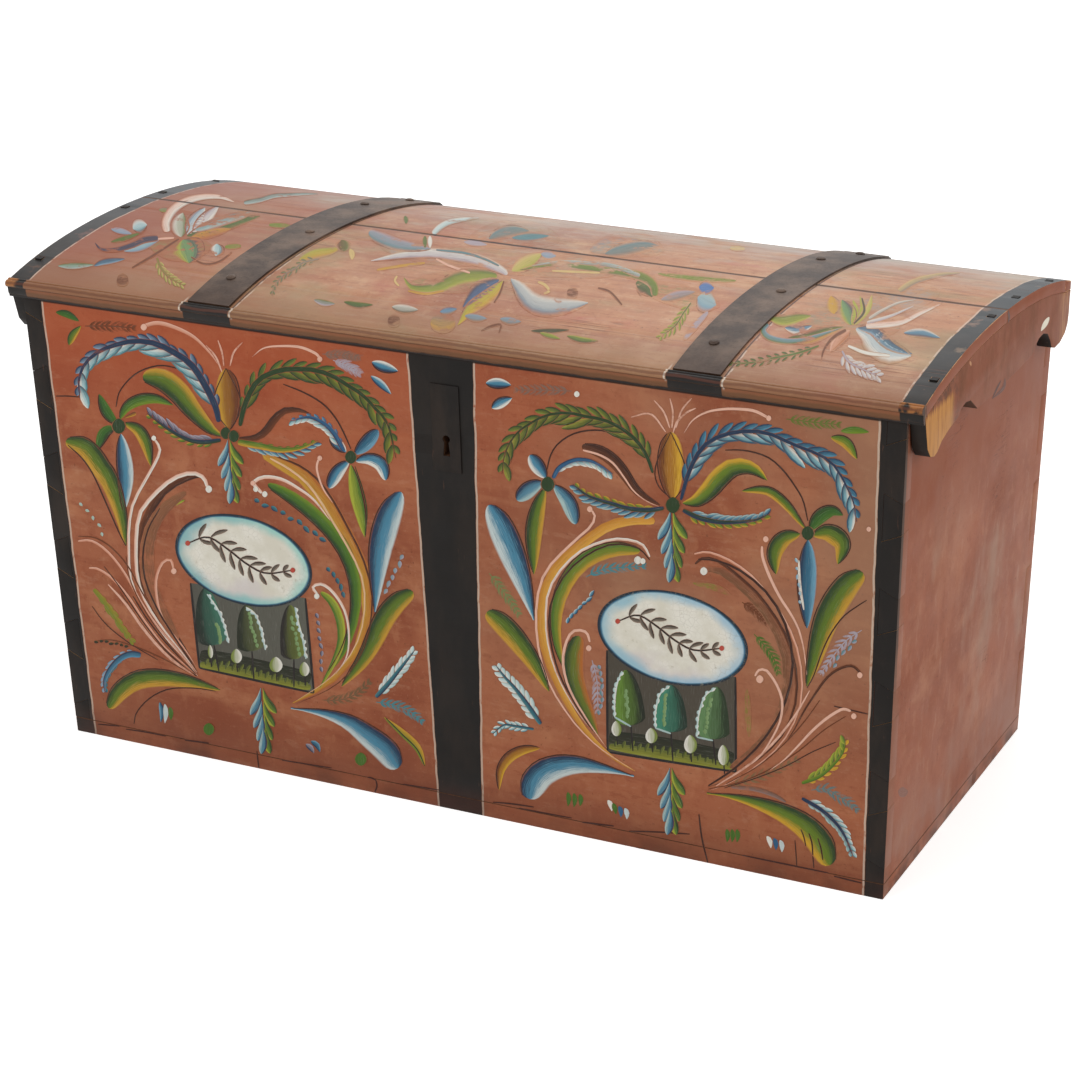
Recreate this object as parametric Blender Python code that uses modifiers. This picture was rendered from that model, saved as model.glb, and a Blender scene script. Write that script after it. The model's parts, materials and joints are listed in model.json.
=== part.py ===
# Storage chest with a low barrel lid, built of pine boards and forged iron.
# Metres, +Z up. The chest stands on the floor with its front towards -Y, and its origin is under its middle.

import math

import bmesh
import bpy
from mathutils import Vector

# Fits shared by all pieces
gap = 0.0003                     # between pieces that touch
overrun = 0.004                  # how far a cut runs past the face that it opens
weld_distance = 0.00001

# Case, measured outside at the rim
case_length = 1.120
case_depth = 0.520
rim_height = 0.578
end_lean = 0.0175                # each end leans out this far from the floor to the rim
face_lean = 0.0150               # and so do the front and the back
wall = 0.022
bottom_thickness = 0.020
front_plank_depth = 0.311        # along the floor, measured from the front

# Corner joints: tails on the front and back boards, pins on the ends
tail_count = 5
tail_outer_share = 0.34          # half height of a tail at the outside, as a share of the spacing
tail_inner_share = 0.25

# Lid boards over two end cleats
lid_clearance = 0.0005           # between the rim and what rests above it
lid_front_setback = 0.002        # the boards' front edge behind the case's front
lid_back_setback = 0.002
lid_front_edge = 0.0215          # height of the boards' top over the rim, at the front
lid_back_edge = 0.0115
arch_rise = 0.031                # crown over the line between the two edges
arch_shoulder = 0.006            # fills the arch out towards its edges
lid_board = 0.0145
arch_steps = 26
seam_from_front_left = 0.296     # the open seam runs a little skew
seam_from_front_right = 0.273
seam_gap = 0.0008
back_strip_depth = 0.024
cleat_thickness = 0.018
cleat_clearance = 0.001          # between a cleat and the end of the case
cleat_drop = 0.056               # lowest point of the ears under the rim
# Under edge of a cleat, from the back to the front: share of the lid's depth, share of the drop
cleat_edge_shares = (
    (0.9960, 0.160), (0.9945, 0.480), (0.9880, 0.720), (0.9700, 0.880), (0.9350, 0.990), (0.8950, 1.000),
    (0.8680, 0.920), (0.8560, 0.740), (0.8330, 0.520), (0.8000, 0.420), (0.7670, 0.440), (0.7420, 0.540),
    (0.7200, 0.660), (0.6000, 0.700), (0.4600, 0.700), (0.3400, 0.690), (0.3200, 0.560), (0.2920, 0.380),
    (0.2600, 0.320), (0.2300, 0.370), (0.2100, 0.480), (0.1500, 0.560), (0.1080, 0.660), (0.0850, 0.790),
    (0.0640, 0.830), (0.0400, 0.760), (0.0210, 0.560), (0.0060, 0.060),
)

# Moulding nailed along the lid's front, over the whole length
moulding_reach = 0.009           # of the nose in front of the case
moulding_foot_reach = 0.002
moulding_nose_height = 0.009     # the rounded nose, measured down from the top
moulding_crown = 0.0012          # the top bead over the boards
moulding_bead = 0.0042
moulding_groove_share = 1.4      # depth of the groove behind the nose, over the bead's height
moulding_foot_share = 0.22       # plain foot under the cove, as a share of the height under the nose
nose_steps = 8
cove_steps = 6

# Wooden pegs from the lid boards into the cleats
peg_side = 0.0085
peg_length = 0.032
peg_proud = 0.0008
front_peg_shares = (0.190, 0.889)  # along the front board, from its front edge to the seam
middle_peg_shares = (0.170, 0.808)  # along the middle board, from the seam to the back strip
bottom_peg_shares = (-0.72, 0.72)  # along half the length, from the bottom planks up into the walls
bottom_peg_sunk = 0.0005

# Iron straps over the lid, rolled into the hinge eye at the back
strap_middles = (-0.300, 0.318)
strap_names = ("left", "right")
strap_width_front = 0.056
strap_width_back = 0.064
strap_thickness = 0.0025
strap_bend_share = 0.3           # how round the strap's bend over the back edge is
eye_radius = 0.006
eye_behind_lid = 0.0004          # clearance between an eye and the lid's back edge
eye_over_rim = 0.0006
pin_radius = 0.003
pin_play = 0.0003
pin_head_radius = 0.0045
pin_head = 0.0025
eye_width = 0.022                # of the strap's own eye in the middle
round_sides = 24
sharp_angle = math.radians(40)
leaf_length = 0.150
leaf_width = 0.056

# Forged nails
nail_head_radius = 0.0062
nail_head = 0.0028
nail_shank = 0.0018
nail_length = 0.0125
nail_sides = 10
# Head of a nail from its top to its under edge: share of the radius, share of the height
nail_head_shares = ((0, 1), (0.55, 0.86), (0.88, 0.50), (1, 0.14), (0.94, 0))
nail_taper_share = 0.6           # of the shank that keeps its full thickness
strap_nail_depth_shares = (0.12, 0.44, 0.76, 0.93)
strap_nail_side_shares = (-0.10, 0.12, -0.16, 0.14)
leaf_nail_shares = (0.30, 0.60, 0.90)

# Lock behind the keyhole
key_x = 0.009
key_below_rim = 0.098            # centre of the round part of the keyhole
keyhole_radius = 0.0048
keyhole_slot_top = 0.0028        # half width of the slot, at its top
keyhole_slot_foot = 0.0046       # and at its foot
keyhole_drop = 0.0205            # from the centre down to the foot
keyhole_sides = 20
keyhole_plate_width = 0.036
keyhole_plate_over = 0.066       # above the key's centre
keyhole_plate_under = 0.040
keyhole_plate_thickness = 0.0010
lock_plate_half = 0.066
lock_plate_over = 0.090
lock_plate_under = 0.034
lock_plate_thickness = 0.0025
lock_cover_half = 0.052
lock_cover_over = 0.082
lock_cover_under = 0.024
lock_cover_depth = 0.022
lock_sheet = 0.002
lock_nail_inset = 0.007

# Bolt, as seen from inside the chest: body, tip and the foot that the key throws
bolt_throw = 0.012
bolt_height = 0.050              # of the bolt's middle over the key's centre
bolt_half = 0.0045
bolt_tip_clear = 0.003           # between the tip and the staple when unlocked
bolt_shoulder_clear = 0.002      # between the shoulder and the staple when locked
bolt_tip_thickness = 0.005
bolt_body_length = 0.031
bolt_leg = 0.008
bolt_foot_height = 0.012
bolt_foot_reach = 0.021
bolt_thickness = 0.0114
drill_pin_radius = 0.0018
drill_pin_length = 0.0185
spring_thickness = 0.0008
spring_width = 0.005
# Leaf of the spring from the cover's side to its free end: share of the way to the bolt's shoulder,
# share of the drop from the cover's ceiling to the bolt
spring_shares = ((0, 0), (0.09, 0.03), (0.32, 0.33), (0.60, 0.75), (0.71, 1), (0.83, 0.98), (1, 0.92))

# Staple under the lid, which drops into the lock
staple_thickness = 0.005
staple_depth = 0.011
staple_behind_plate = 0.0062     # front edge of the staple behind the lock plate's face
staple_hole_depth = 0.0070
staple_hole_height = 0.0140
staple_end = 0.004
staple_flange_length = 0.044
staple_flange_depth = 0.020
staple_flange = 0.0025
staple_slot_play = 0.0030
staple_nail_inset = 0.007

# Till across the left end
till_width = 0.150
till_height = 0.105
till_below_rim = 0.034
till_board = 0.010
till_bottom_housing = 0.006      # how far each board is let into the front and the back
till_wall_housing = 0.005
till_lip = 0.002                 # the till's bottom past its wall

# Colours as linear values with their roughness
finish_table = {
    "painted_wood": ((0.33, 0.110, 0.062), 0.62, 0.0),
    "painted_iron": ((0.024, 0.018, 0.016), 0.55, 0.0),
    "bare_wood": ((0.42, 0.27, 0.14), 0.70, 0.0),
    "peg_wood": ((0.16, 0.09, 0.05), 0.65, 0.0),
    "strap_iron": ((0.055, 0.046, 0.042), 0.50, 0.6),
    "bare_iron": ((0.10, 0.09, 0.085), 0.48, 0.9),
}

# Places that follow from the sizes above
lid_front = -case_depth / 2 + lid_front_setback
lid_back = case_depth / 2 - lid_back_setback
axis_y = lid_back + eye_behind_lid + eye_radius
axis_z = rim_height + eye_over_rim + eye_radius
case_y = (case_depth / 2 + moulding_reach - axis_y - eye_radius) / 2
strip_front = lid_back - back_strip_depth
base_z = bottom_thickness + gap
key_height = rim_height - key_below_rim
lid_half_length = case_length / 2 + cleat_clearance + cleat_thickness
lean_angle = math.atan(face_lean / rim_height)
# Turns that stand an outline up: drawn in y and z with its thickness along x, or in x and z
side_turn = (math.pi / 2, 0, math.pi / 2)
face_turn = (math.pi / 2, 0, 0)
# Turn that lays a rod along x
cross_turn = (0, math.pi / 2, 0)
# Turn of a nail driven from below
under_turn = (math.pi, 0, 0)


def lean_share(z):
    return 1 - z / rim_height


def half_length(z):
    return case_length / 2 - end_lean * lean_share(z)


def half_depth(z):
    return case_depth / 2 - face_lean * lean_share(z)


def lid_top(y):
    # Upper side of the lid boards, for a y measured from the case's middle.
    front_edge, back_edge = -case_depth / 2, lid_back
    share = (2 * y - front_edge - back_edge) / (back_edge - front_edge)
    line = (lid_front_edge + lid_back_edge) / 2 - share * (lid_front_edge - lid_back_edge) / 2
    arch = arch_rise * (1 - share ** 2) + arch_shoulder * (share ** 2 - share ** 4)
    return rim_height + line + arch


def lid_under(y):
    return max(lid_top(y) - lid_board, rim_height + lid_clearance)


def lid_slope(y):
    return math.atan2(lid_top(y + gap) - lid_top(y - gap), 2 * gap)


def from_lid_front(distance):
    return -case_depth / 2 + distance


# Scene and object helpers

def clear_scene():
    for item in list(bpy.data.objects):
        bpy.data.objects.remove(item, do_unlink=True)


def new_collection(name):
    made = bpy.data.collections.new(name)
    bpy.context.scene.collection.children.link(made)
    return made


def make_finishes():
    made = {}
    for name, (colour, roughness, metallic) in finish_table.items():
        finish = bpy.data.materials.new(name)
        finish.use_nodes = True
        shader = finish.node_tree.nodes["Principled BSDF"]
        shader.inputs["Base Color"].default_value = (*colour, 1)
        shader.inputs["Roughness"].default_value = roughness
        shader.inputs["Metallic"].default_value = metallic
        finish.diffuse_color = (*colour, 1)
        made[name] = finish
    return made


clear_scene()
parts = new_collection("storage_chest")
cutters = new_collection("cutters")
finishes = make_finishes()


def new_frame(name, place, parent=None, turn=(0, 0, 0)):
    frame = bpy.data.objects.new(name, None)
    frame.empty_display_size = wall
    frame.parent = parent
    frame.location = place
    frame.rotation_euler = turn
    parts.objects.link(frame)
    return frame


case_frame = new_frame("case_frame", (0, case_y, 0))
lid_frame = new_frame("lid_frame", (0, axis_y, axis_z), case_frame)
lock_place = (key_x, -half_depth(key_height) + wall, key_height)
lock_frame = new_frame("lock_frame", lock_place, case_frame, (lean_angle, 0, 0))
# Where each frame's origin lies in the case's own coordinates
frame_origins = {
    case_frame: Vector((0, 0, 0)),
    lid_frame: Vector((0, axis_y, axis_z)),
    lock_frame: Vector((0, 0, 0)),
}


def add_piece(name, mesh, frame, finish, place=(0, 0, 0), turn=(0, 0, 0)):
    piece = bpy.data.objects.new(name, mesh)
    piece.parent = frame
    piece.location = Vector(place) - frame_origins[frame]
    piece.rotation_euler = turn
    if finish:
        mesh.materials.clear()
        mesh.materials.append(finishes[finish])
        parts.objects.link(piece)
    else:
        piece.hide_render = True
        piece.display_type = 'WIRE'
        cutters.objects.link(piece)
    return piece


def shape_mesh(name, shape):
    bmesh.ops.recalc_face_normals(shape, faces=shape.faces)
    mesh = bpy.data.meshes.new(name)
    shape.to_mesh(mesh)
    shape.free()
    return mesh


def add_blocks(name, corner_rules, frame, finish=None, place=(0, 0, 0), turn=(0, 0, 0)):
    # Each block is a cube whose corners are moved to where its rule puts them.
    shape = bmesh.new()
    for rule in corner_rules:
        made = bmesh.ops.create_cube(shape, size=1)
        for vertex in made["verts"]:
            vertex.co = rule(*(1 if value > 0 else -1 for value in vertex.co))
    return add_piece(name, shape_mesh(name, shape), frame, finish, place, turn)


def straight_block(low, high):
    def rule(*sides):
        return [high[axis] if side > 0 else low[axis] for axis, side in enumerate(sides)]
    return rule


def add_outline(name, outlines, thickness, frame, finish=None, place=(0, 0, 0), turn=(0, 0, 0)):
    # A flat outline, the first one round the outside and any others its holes, made solid.
    curve = bpy.data.curves.new(name, 'CURVE')
    curve.dimensions = '2D'
    curve.fill_mode = 'BOTH'
    curve.extrude = thickness / 2
    for outline in outlines:
        spline = curve.splines.new('POLY')
        spline.points.add(len(outline) - 1)
        for point, (across, up) in zip(spline.points, outline):
            point.co = (across, up, 0, 1)
        spline.use_cyclic_u = True
    drawing = bpy.data.objects.new(name + "_outline", curve)
    bpy.context.scene.collection.objects.link(drawing)
    bpy.context.view_layer.update()
    drawn = drawing.evaluated_get(bpy.context.evaluated_depsgraph_get())
    mesh = bpy.data.meshes.new_from_object(drawn)
    mesh.name = name
    bpy.data.objects.remove(drawing, do_unlink=True)
    bpy.data.curves.remove(curve)
    shape = bmesh.new()
    shape.from_mesh(mesh)
    bmesh.ops.remove_doubles(shape, verts=shape.verts, dist=weld_distance)
    bmesh.ops.recalc_face_normals(shape, faces=shape.faces)
    shape.to_mesh(mesh)
    shape.free()
    return add_piece(name, mesh, frame, finish, place, turn)


def add_rod(name, radius, length, frame, finish=None, place=(0, 0, 0), turn=(0, 0, 0), sides=round_sides):
    shape = bmesh.new()
    bmesh.ops.create_cone(
        shape, cap_ends=True, segments=sides, radius1=radius, radius2=radius, depth=length)
    piece = add_piece(name, shape_mesh(name, shape), frame, finish, place, turn)
    if finish:
        smooth_round(piece)
    return piece


def smooth_round(piece):
    piece.data.shade_smooth()
    piece.data.set_sharp_from_angle(angle=sharp_angle)


def combine(piece, other, operation='DIFFERENCE'):
    modifier = piece.modifiers.new(operation.lower(), 'BOOLEAN')
    modifier.operation = operation
    modifier.solver = 'EXACT'
    modifier.object = other


def band_outline(path, thickness):
    # The closed outline of a flat bar that follows a path drawn along its middle.
    left, right = [], []
    for index, point in enumerate(path):
        before = Vector(path[max(index - 1, 0)])
        after = Vector(path[min(index + 1, len(path) - 1)])
        along = (after - before).normalized()
        across = Vector((-along.y, along.x)) * thickness / 2
        left.append(tuple(Vector(point) + across))
        right.append(tuple(Vector(point) - across))
    return left + right[::-1]


# Case

def wall_block(side, low_z, high_z):
    # A board of the front (side -1) or the back (side 1), over the whole length of the case.
    def rule(i, j, k):
        z = high_z if k > 0 else low_z
        outer = half_depth(z)
        return (i * half_length(z), side * (outer if j * side > 0 else outer - wall), z)
    return rule


def end_block(side):
    def rule(i, j, k):
        z = rim_height if k > 0 else base_z
        outer = half_length(z)
        return (side * (outer if i * side > 0 else outer - wall), j * half_depth(z), z)
    return rule


def tail_edge(index, way, outward):
    # Height of a tail's lower (way -1) or upper (way 1) edge; outward is 0 inside and 1 at the face.
    spacing = (rim_height - base_z) / tail_count
    half_share = tail_inner_share + (tail_outer_share - tail_inner_share) * outward
    middle = base_z + spacing * index + spacing / 2
    return middle + way * spacing * half_share


def pin_socket(end, face, index):
    # Room in a front or back board for the pin under tail number index.
    def rule(i, j, k):
        outward = 1 + overrun / wall if i * end > 0 else -gap / wall
        if k < 0:
            z = tail_edge(index - 1, 1, outward) - gap if index else base_z - overrun
        else:
            z = tail_edge(index, -1, outward) + gap if index < tail_count else rim_height + overrun
        x = half_length(z) - wall + wall * outward
        y = half_depth(z) + overrun if j * face > 0 else half_depth(z) - wall - overrun
        return (end * x, face * y, z)
    return rule


def tail_socket(end, face, index):
    # Room in an end board for a tail of the front or back board.
    def rule(i, j, k):
        outward = 1 + overrun / wall if i * end > 0 else -overrun / wall
        z = tail_edge(index, k, outward)
        x = half_length(z) - wall + wall * outward
        y = half_depth(z) + overrun if j * face > 0 else half_depth(z) - wall - gap
        return (end * x, face * y, z)
    return rule


def till_places():
    # The till's two boards, each with its lowest and highest corner without the housings.
    floor_z = rim_height - till_below_rim - till_height
    left = -half_length(floor_z) + wall
    floor_low = (left + gap, floor_z)
    floor_high = (left + till_width, floor_z + till_board)
    wall_low = (floor_high[0] - till_lip - till_board, floor_high[1] + gap)
    wall_high = (floor_high[0] - till_lip, rim_height - till_below_rim)
    return (floor_low, floor_high), (wall_low, wall_high)


def till_board_block(low, high, housing, play):
    def rule(i, j, k):
        z = high[1] + play if k > 0 else low[1] - play
        x = high[0] + play if i > 0 else low[0] - play
        return (x, j * (half_depth(z) - wall + housing + play), z)
    return rule


def make_case():
    for name, face in (("front_panel", -1), ("back_panel", 1)):
        panel = add_blocks(name, [wall_block(face, base_z, rim_height)], case_frame, "painted_wood")
        sockets = [pin_socket(end, face, index) for end in (-1, 1) for index in range(tail_count + 1)]
        combine(panel, add_blocks(name + "_sockets", sockets, case_frame))
        (floor_low, floor_high), (wall_low, wall_high) = till_places()
        floor_room = till_board_block(floor_low, floor_high, till_bottom_housing, gap)
        combine(panel, add_blocks(name + "_till_bottom_housing", [floor_room], case_frame))
        wall_room_low = (wall_low[0], wall_low[1] - till_board / 2)
        wall_room = till_board_block(wall_room_low, wall_high, till_wall_housing, gap)
        combine(panel, add_blocks(name + "_till_wall_housing", [wall_room], case_frame))
    for name, end in (("left_end", -1), ("right_end", 1)):
        panel = add_blocks(name, [end_block(end)], case_frame, "painted_wood")
        sockets = [tail_socket(end, face, index) for face in (-1, 1) for index in range(tail_count)]
        combine(panel, add_blocks(name + "_sockets", sockets, case_frame))


def plank_block(front, back):
    # A floor plank between two depths; None stands for the leaning outer face.
    def rule(i, j, k):
        z = bottom_thickness if k > 0 else 0
        face = j * half_depth(z)
        edge = back if j > 0 else front
        return (i * half_length(z), face if edge is None else edge, z)
    return rule


def bottom_peg_block(along, face, play):
    # A peg that stands in the middle of a wall's lower edge.
    x = along * half_length(0)
    y = face * (half_depth(base_z) - wall / 2)
    half = peg_side / 2 + play
    top = bottom_peg_sunk + bottom_thickness + peg_length
    low = bottom_peg_sunk if play == 0 else -overrun
    return straight_block((x - half, y - half, low), (x + half, y + half, top + play))


def make_bottom():
    joint = -half_depth(0) + front_plank_depth
    planks = {
        -1: add_blocks("bottom_front_plank", [plank_block(None, joint)], case_frame, "bare_wood"),
        1: add_blocks("bottom_rear_plank", [plank_block(joint + gap, None)], case_frame, "bare_wood"),
    }
    for face, name in ((-1, "front"), (1, "back")):
        holes = [bottom_peg_block(along, face, gap) for along in bottom_peg_shares]
        cutter = add_blocks("bottom_%s_peg_holes" % name, holes, case_frame)
        combine(planks[face], cutter)
        combine(bpy.data.objects[name + "_panel"], cutter)
        for number, along in enumerate(bottom_peg_shares, 1):
            add_blocks("bottom_%s_peg_%d" % (name, number), [bottom_peg_block(along, face, 0)],
                       case_frame, "peg_wood")


def make_till():
    (floor_low, floor_high), (wall_low, wall_high) = till_places()
    floor = till_board_block(floor_low, floor_high, till_bottom_housing, 0)
    add_blocks("till_bottom", [floor], case_frame, "bare_wood")
    upright = till_board_block(wall_low, wall_high, till_wall_housing, 0)
    add_blocks("till_wall", [upright], case_frame, "bare_wood")


# Lid

def arch_stations(front, back):
    # The same stations for all pieces along the arch, so that their flats lie over each other.
    stations = [lid_front + (lid_back - lid_front) * step / arch_steps for step in range(arch_steps + 1)]
    return [front] + [y for y in stations if front + gap < y < back - gap] + [back]


def arch_outline(front, back):
    stations = arch_stations(front, back)
    return [(y, lid_top(y)) for y in stations] + [(y, lid_under(y)) for y in reversed(stations)]


def seam_side(way, play):
    # A block that covers all of the lid behind (way 1) or in front (way -1) of the skew seam.
    def rule(i, j, k):
        seam = seam_from_front_right if i > 0 else seam_from_front_left
        spread = (seam_from_front_right - seam_from_front_left) * overrun / (2 * lid_half_length)
        edge = from_lid_front(seam + i * spread) - way * play
        far = way * case_depth
        z = rim_height + k * case_depth
        return (i * (lid_half_length + overrun), far if j * way > 0 else edge, z)
    return rule


def add_lid_board(name, front, back):
    return add_outline(name, [arch_outline(front, back)], 2 * lid_half_length, lid_frame, "painted_wood",
                       turn=side_turn)


def peg_places():
    middle = lid_half_length - cleat_thickness / 2
    seam_front, seam_back = from_lid_front(seam_from_front_right), from_lid_front(seam_from_front_left)
    rows = [lid_front + (seam_front - lid_front) * share for share in front_peg_shares]
    rows += [seam_back + (strip_front - seam_back) * share for share in middle_peg_shares]
    for side, side_name in ((-1, "left"), (1, "right")):
        for number, y in enumerate(rows, 1):
            yield "lid_peg_%s_%d" % (side_name, number), side * middle, y


def peg_block(x, y, play):
    half = peg_side / 2 + play
    top = lid_top(y) + peg_proud
    return straight_block((x - half, y - half, top - peg_length - play), (x + half, y + half, top + play))


def add_nail(name, frame, place, turn):
    # Turned about its length: a low domed head over a tapering shank, its head resting at the place.
    profile = [(nail_head_radius * across, nail_head * up) for across, up in nail_head_shares]
    profile += [(nail_shank, 0), (nail_shank, -nail_length * nail_taper_share), (0, -nail_length)]
    shape = bmesh.new()
    corners = [shape.verts.new((radius, 0, height)) for radius, height in profile]
    for upper, lower in zip(corners, corners[1:]):
        shape.edges.new((upper, lower))
    mesh = bpy.data.meshes.new(name)
    shape.to_mesh(mesh)
    shape.free()
    nail = add_piece(name, mesh, frame, "strap_iron", place, turn)
    screw = nail.modifiers.new("turned", 'SCREW')
    screw.steps = nail_sides
    screw.render_steps = nail_sides
    screw.use_merge_vertices = True
    screw.merge_threshold = weld_distance
    screw.use_smooth_shade = True
    return nail


def nail_hole(name, frame, place, turn):
    # A bore that takes the shank, opening above and ending just past the nail's point.
    length = nail_length + gap + overrun
    inward = Vector((0, 0, overrun - length / 2))
    middle = Vector(place) + turned(inward, turn)
    return add_rod(name, nail_shank + gap, length, frame, None, middle, turn, nail_sides)


def turned(vector, turn):
    # A turn about x only, which is all that the nails here need.
    angle = turn[0]
    return Vector((vector.x, vector.y * math.cos(angle) - vector.z * math.sin(angle),
                   vector.y * math.sin(angle) + vector.z * math.cos(angle)))


def strap_half_width(y):
    share = (y - lid_front) / (lid_back - lid_front)
    share = min(max(share, 0), 1)
    return (strap_width_front + (strap_width_back - strap_width_front) * share) / 2


def strap_nail_places(middle):
    for along, aside in zip(strap_nail_depth_shares, strap_nail_side_shares):
        y = lid_front + (lid_back - lid_front) * along
        slope = lid_slope(y)
        lift = gap + strap_thickness + gap
        x = middle + aside * strap_width_front
        yield (x, y - lift * math.sin(slope), lid_top(y) + lift * math.cos(slope)), (slope, 0, 0)


def make_lid():
    front_board = add_lid_board("lid_front_board", lid_front, strip_front - gap)
    middle_board = add_lid_board("lid_middle_board", lid_front, strip_front - gap)
    add_lid_board("lid_back_strip", strip_front, lid_back)
    combine(front_board, add_blocks("lid_behind_seam", [seam_side(1, seam_gap / 2)], lid_frame))
    combine(middle_board, add_blocks("lid_before_seam", [seam_side(-1, seam_gap / 2)], lid_frame))

    cleats = [add_cleat("lid_%s_cleat" % name, side) for side, name in ((-1, "left"), (1, "right"))]

    pegs = list(peg_places())
    peg_holes = add_blocks("lid_peg_holes", [peg_block(x, y, gap) for name, x, y in pegs], lid_frame)
    for piece in [front_board, middle_board] + cleats:
        combine(piece, peg_holes)
    for name, x, y in pegs:
        add_blocks(name, [peg_block(x, y, 0)], lid_frame, "peg_wood")

    seam_share = (seam_from_front_left + seam_from_front_right) / 2 / case_depth
    for middle, side_name in zip(strap_middles, strap_names):
        strap = add_strap("lid_strap_" + side_name, middle)
        for number, (place, turn) in enumerate(strap_nail_places(middle), 1):
            hole = nail_hole("strap_nail_hole_%s_%d" % (side_name, number), lid_frame, place, turn)
            share = strap_nail_depth_shares[number - 1]
            board = front_board if share < seam_share else middle_board
            combine(board, hole)
            combine(strap, hole)
            add_nail("strap_nail_%s_%d" % (side_name, number), lid_frame, place, turn)


def add_cleat(name, side):
    depth = lid_back - lid_front
    top = [(y, lid_under(y) - gap) for y in arch_stations(lid_front, lid_back)]
    under = [(lid_front + depth * along, rim_height - cleat_drop * down) for along, down in cleat_edge_shares]
    middle = side * (lid_half_length - cleat_thickness / 2)
    return add_outline(name, [top + under], cleat_thickness, lid_frame, "painted_wood", (middle, 0, 0),
                       side_turn)


def moulding_outline():
    # Bead and rounded nose above, a cove drawn back under the nose, and a square foot at the rim.
    back = lid_front - gap
    top = lid_top(lid_front) + moulding_crown
    foot = rim_height + lid_clearance
    nose_front = -case_depth / 2 - moulding_reach
    nose_radius = moulding_nose_height / 2
    nose_middle = (nose_front + nose_radius, top - moulding_crown - nose_radius)
    points = [(back, foot), (back, top - moulding_crown)]
    bead_middle = (back - moulding_bead / 2, top - moulding_crown)
    for step in range(1, nose_steps):
        angle = math.pi * step / nose_steps
        across = moulding_bead / 2 * math.cos(angle)
        points.append((bead_middle[0] + across, bead_middle[1] + moulding_crown * math.sin(angle)))
    points.append((back - moulding_bead, top - moulding_crown * moulding_groove_share))
    for step in range(nose_steps + 1):
        angle = math.pi / 2 + math.pi * step / nose_steps
        across = nose_radius * math.cos(angle)
        points.append((nose_middle[0] + across, nose_middle[1] + nose_radius * math.sin(angle)))
    cove_top = nose_middle[1] - nose_radius
    cove_foot = foot + (cove_top - foot) * moulding_foot_share
    foot_front = -case_depth / 2 - moulding_foot_reach
    cove_start = nose_middle[0]
    for step in range(1, cove_steps + 1):
        angle = math.pi / 2 * step / cove_steps
        across = cove_start + (foot_front - cove_start) * (1 - math.cos(angle))
        up = cove_top + (cove_foot - cove_top) * math.sin(angle)
        points.append((across, up))
    points.append((foot_front, foot))
    return points


def make_moulding():
    add_outline("lid_front_moulding", [moulding_outline()], 2 * lid_half_length, lid_frame, "painted_wood",
                turn=side_turn)


# Iron straps and hinges

def add_strap(name, middle):
    # Along the top of the boards, down behind them and on to the height of the hinge axis.
    lift = gap + strap_thickness / 2
    drop_y = lid_back + lift
    path = [(y, lid_top(y) + lift) for y in arch_stations(lid_front, drop_y - strap_thickness)]
    corner_z = path[-1][1]
    bend = strap_thickness * strap_bend_share
    path += [(drop_y - bend, corner_z - bend), (drop_y, corner_z - strap_thickness), (drop_y, axis_z)]
    outline = band_outline(path, strap_thickness)
    strap = add_outline(name, [outline], 1, lid_frame, "strap_iron", (middle, 0, 0), side_turn)
    for vertex in strap.data.vertices:
        vertex.co.z *= 2 * strap_half_width(vertex.co.x)
    axis = (middle, axis_y, axis_z)
    for way, way_name in ((-1, "left"), (1, "right")):
        place = (middle + way * (eye_width + strap_width_back) / 2, axis_y, axis_z)
        room_name = "%s_%s_room" % (name, way_name)
        room = add_rod(room_name, eye_radius + gap, strap_width_back, lid_frame, None, place, cross_turn)
        combine(strap, room)
    eye = add_rod(name + "_eye", eye_radius, eye_width - 2 * gap, lid_frame, None, axis, cross_turn)
    combine(strap, eye, 'UNION')
    bore = add_rod(name + "_bore", pin_radius + pin_play, case_depth, lid_frame, None, axis, cross_turn)
    combine(strap, bore)
    return strap


def add_leaf(name, middle):
    # A plate flat on the leaning back of the case, with a tab up to each of its two eyes.
    half = leaf_width / 2
    notch = eye_width / 2 + gap
    tab_top = axis_z - rim_height
    tab = notch + gap
    outline = [(-half, -leaf_length), (half, -leaf_length), (half, tab_top), (tab, tab_top), (tab, 0),
               (-tab, 0), (-tab, tab_top), (-half, tab_top)]
    place = (middle, half_depth(rim_height - gap) + gap + strap_thickness / 2, rim_height - gap)
    turn = (math.pi / 2 - lean_angle, 0, 0)
    leaf = add_outline(name, [outline], strap_thickness, case_frame, "strap_iron", place, turn)
    side_eye = half - notch + gap
    for way, way_name in ((-1, "left"), (1, "right")):
        eye_place = (middle + way * (notch + side_eye / 2), axis_y, axis_z)
        eye_name = "%s_%s_eye" % (name, way_name)
        eye = add_rod(eye_name, eye_radius, side_eye, case_frame, None, eye_place, cross_turn)
        combine(leaf, eye, 'UNION')
    axis = (middle, axis_y, axis_z)
    bore = add_rod(name + "_bore", pin_radius + pin_play, case_depth, case_frame, None, axis, cross_turn)
    combine(leaf, bore)
    return leaf


def add_pin(name, middle):
    length = leaf_width + 4 * gap
    pin = add_rod(name, pin_radius, length + pin_head, case_frame, "bare_iron",
                  (middle, axis_y, axis_z), cross_turn)
    head = add_rod(name + "_head", pin_head_radius, pin_head, case_frame, None,
                   (middle + (length + pin_head) / 2, axis_y, axis_z), cross_turn)
    combine(pin, head, 'UNION')


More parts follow.
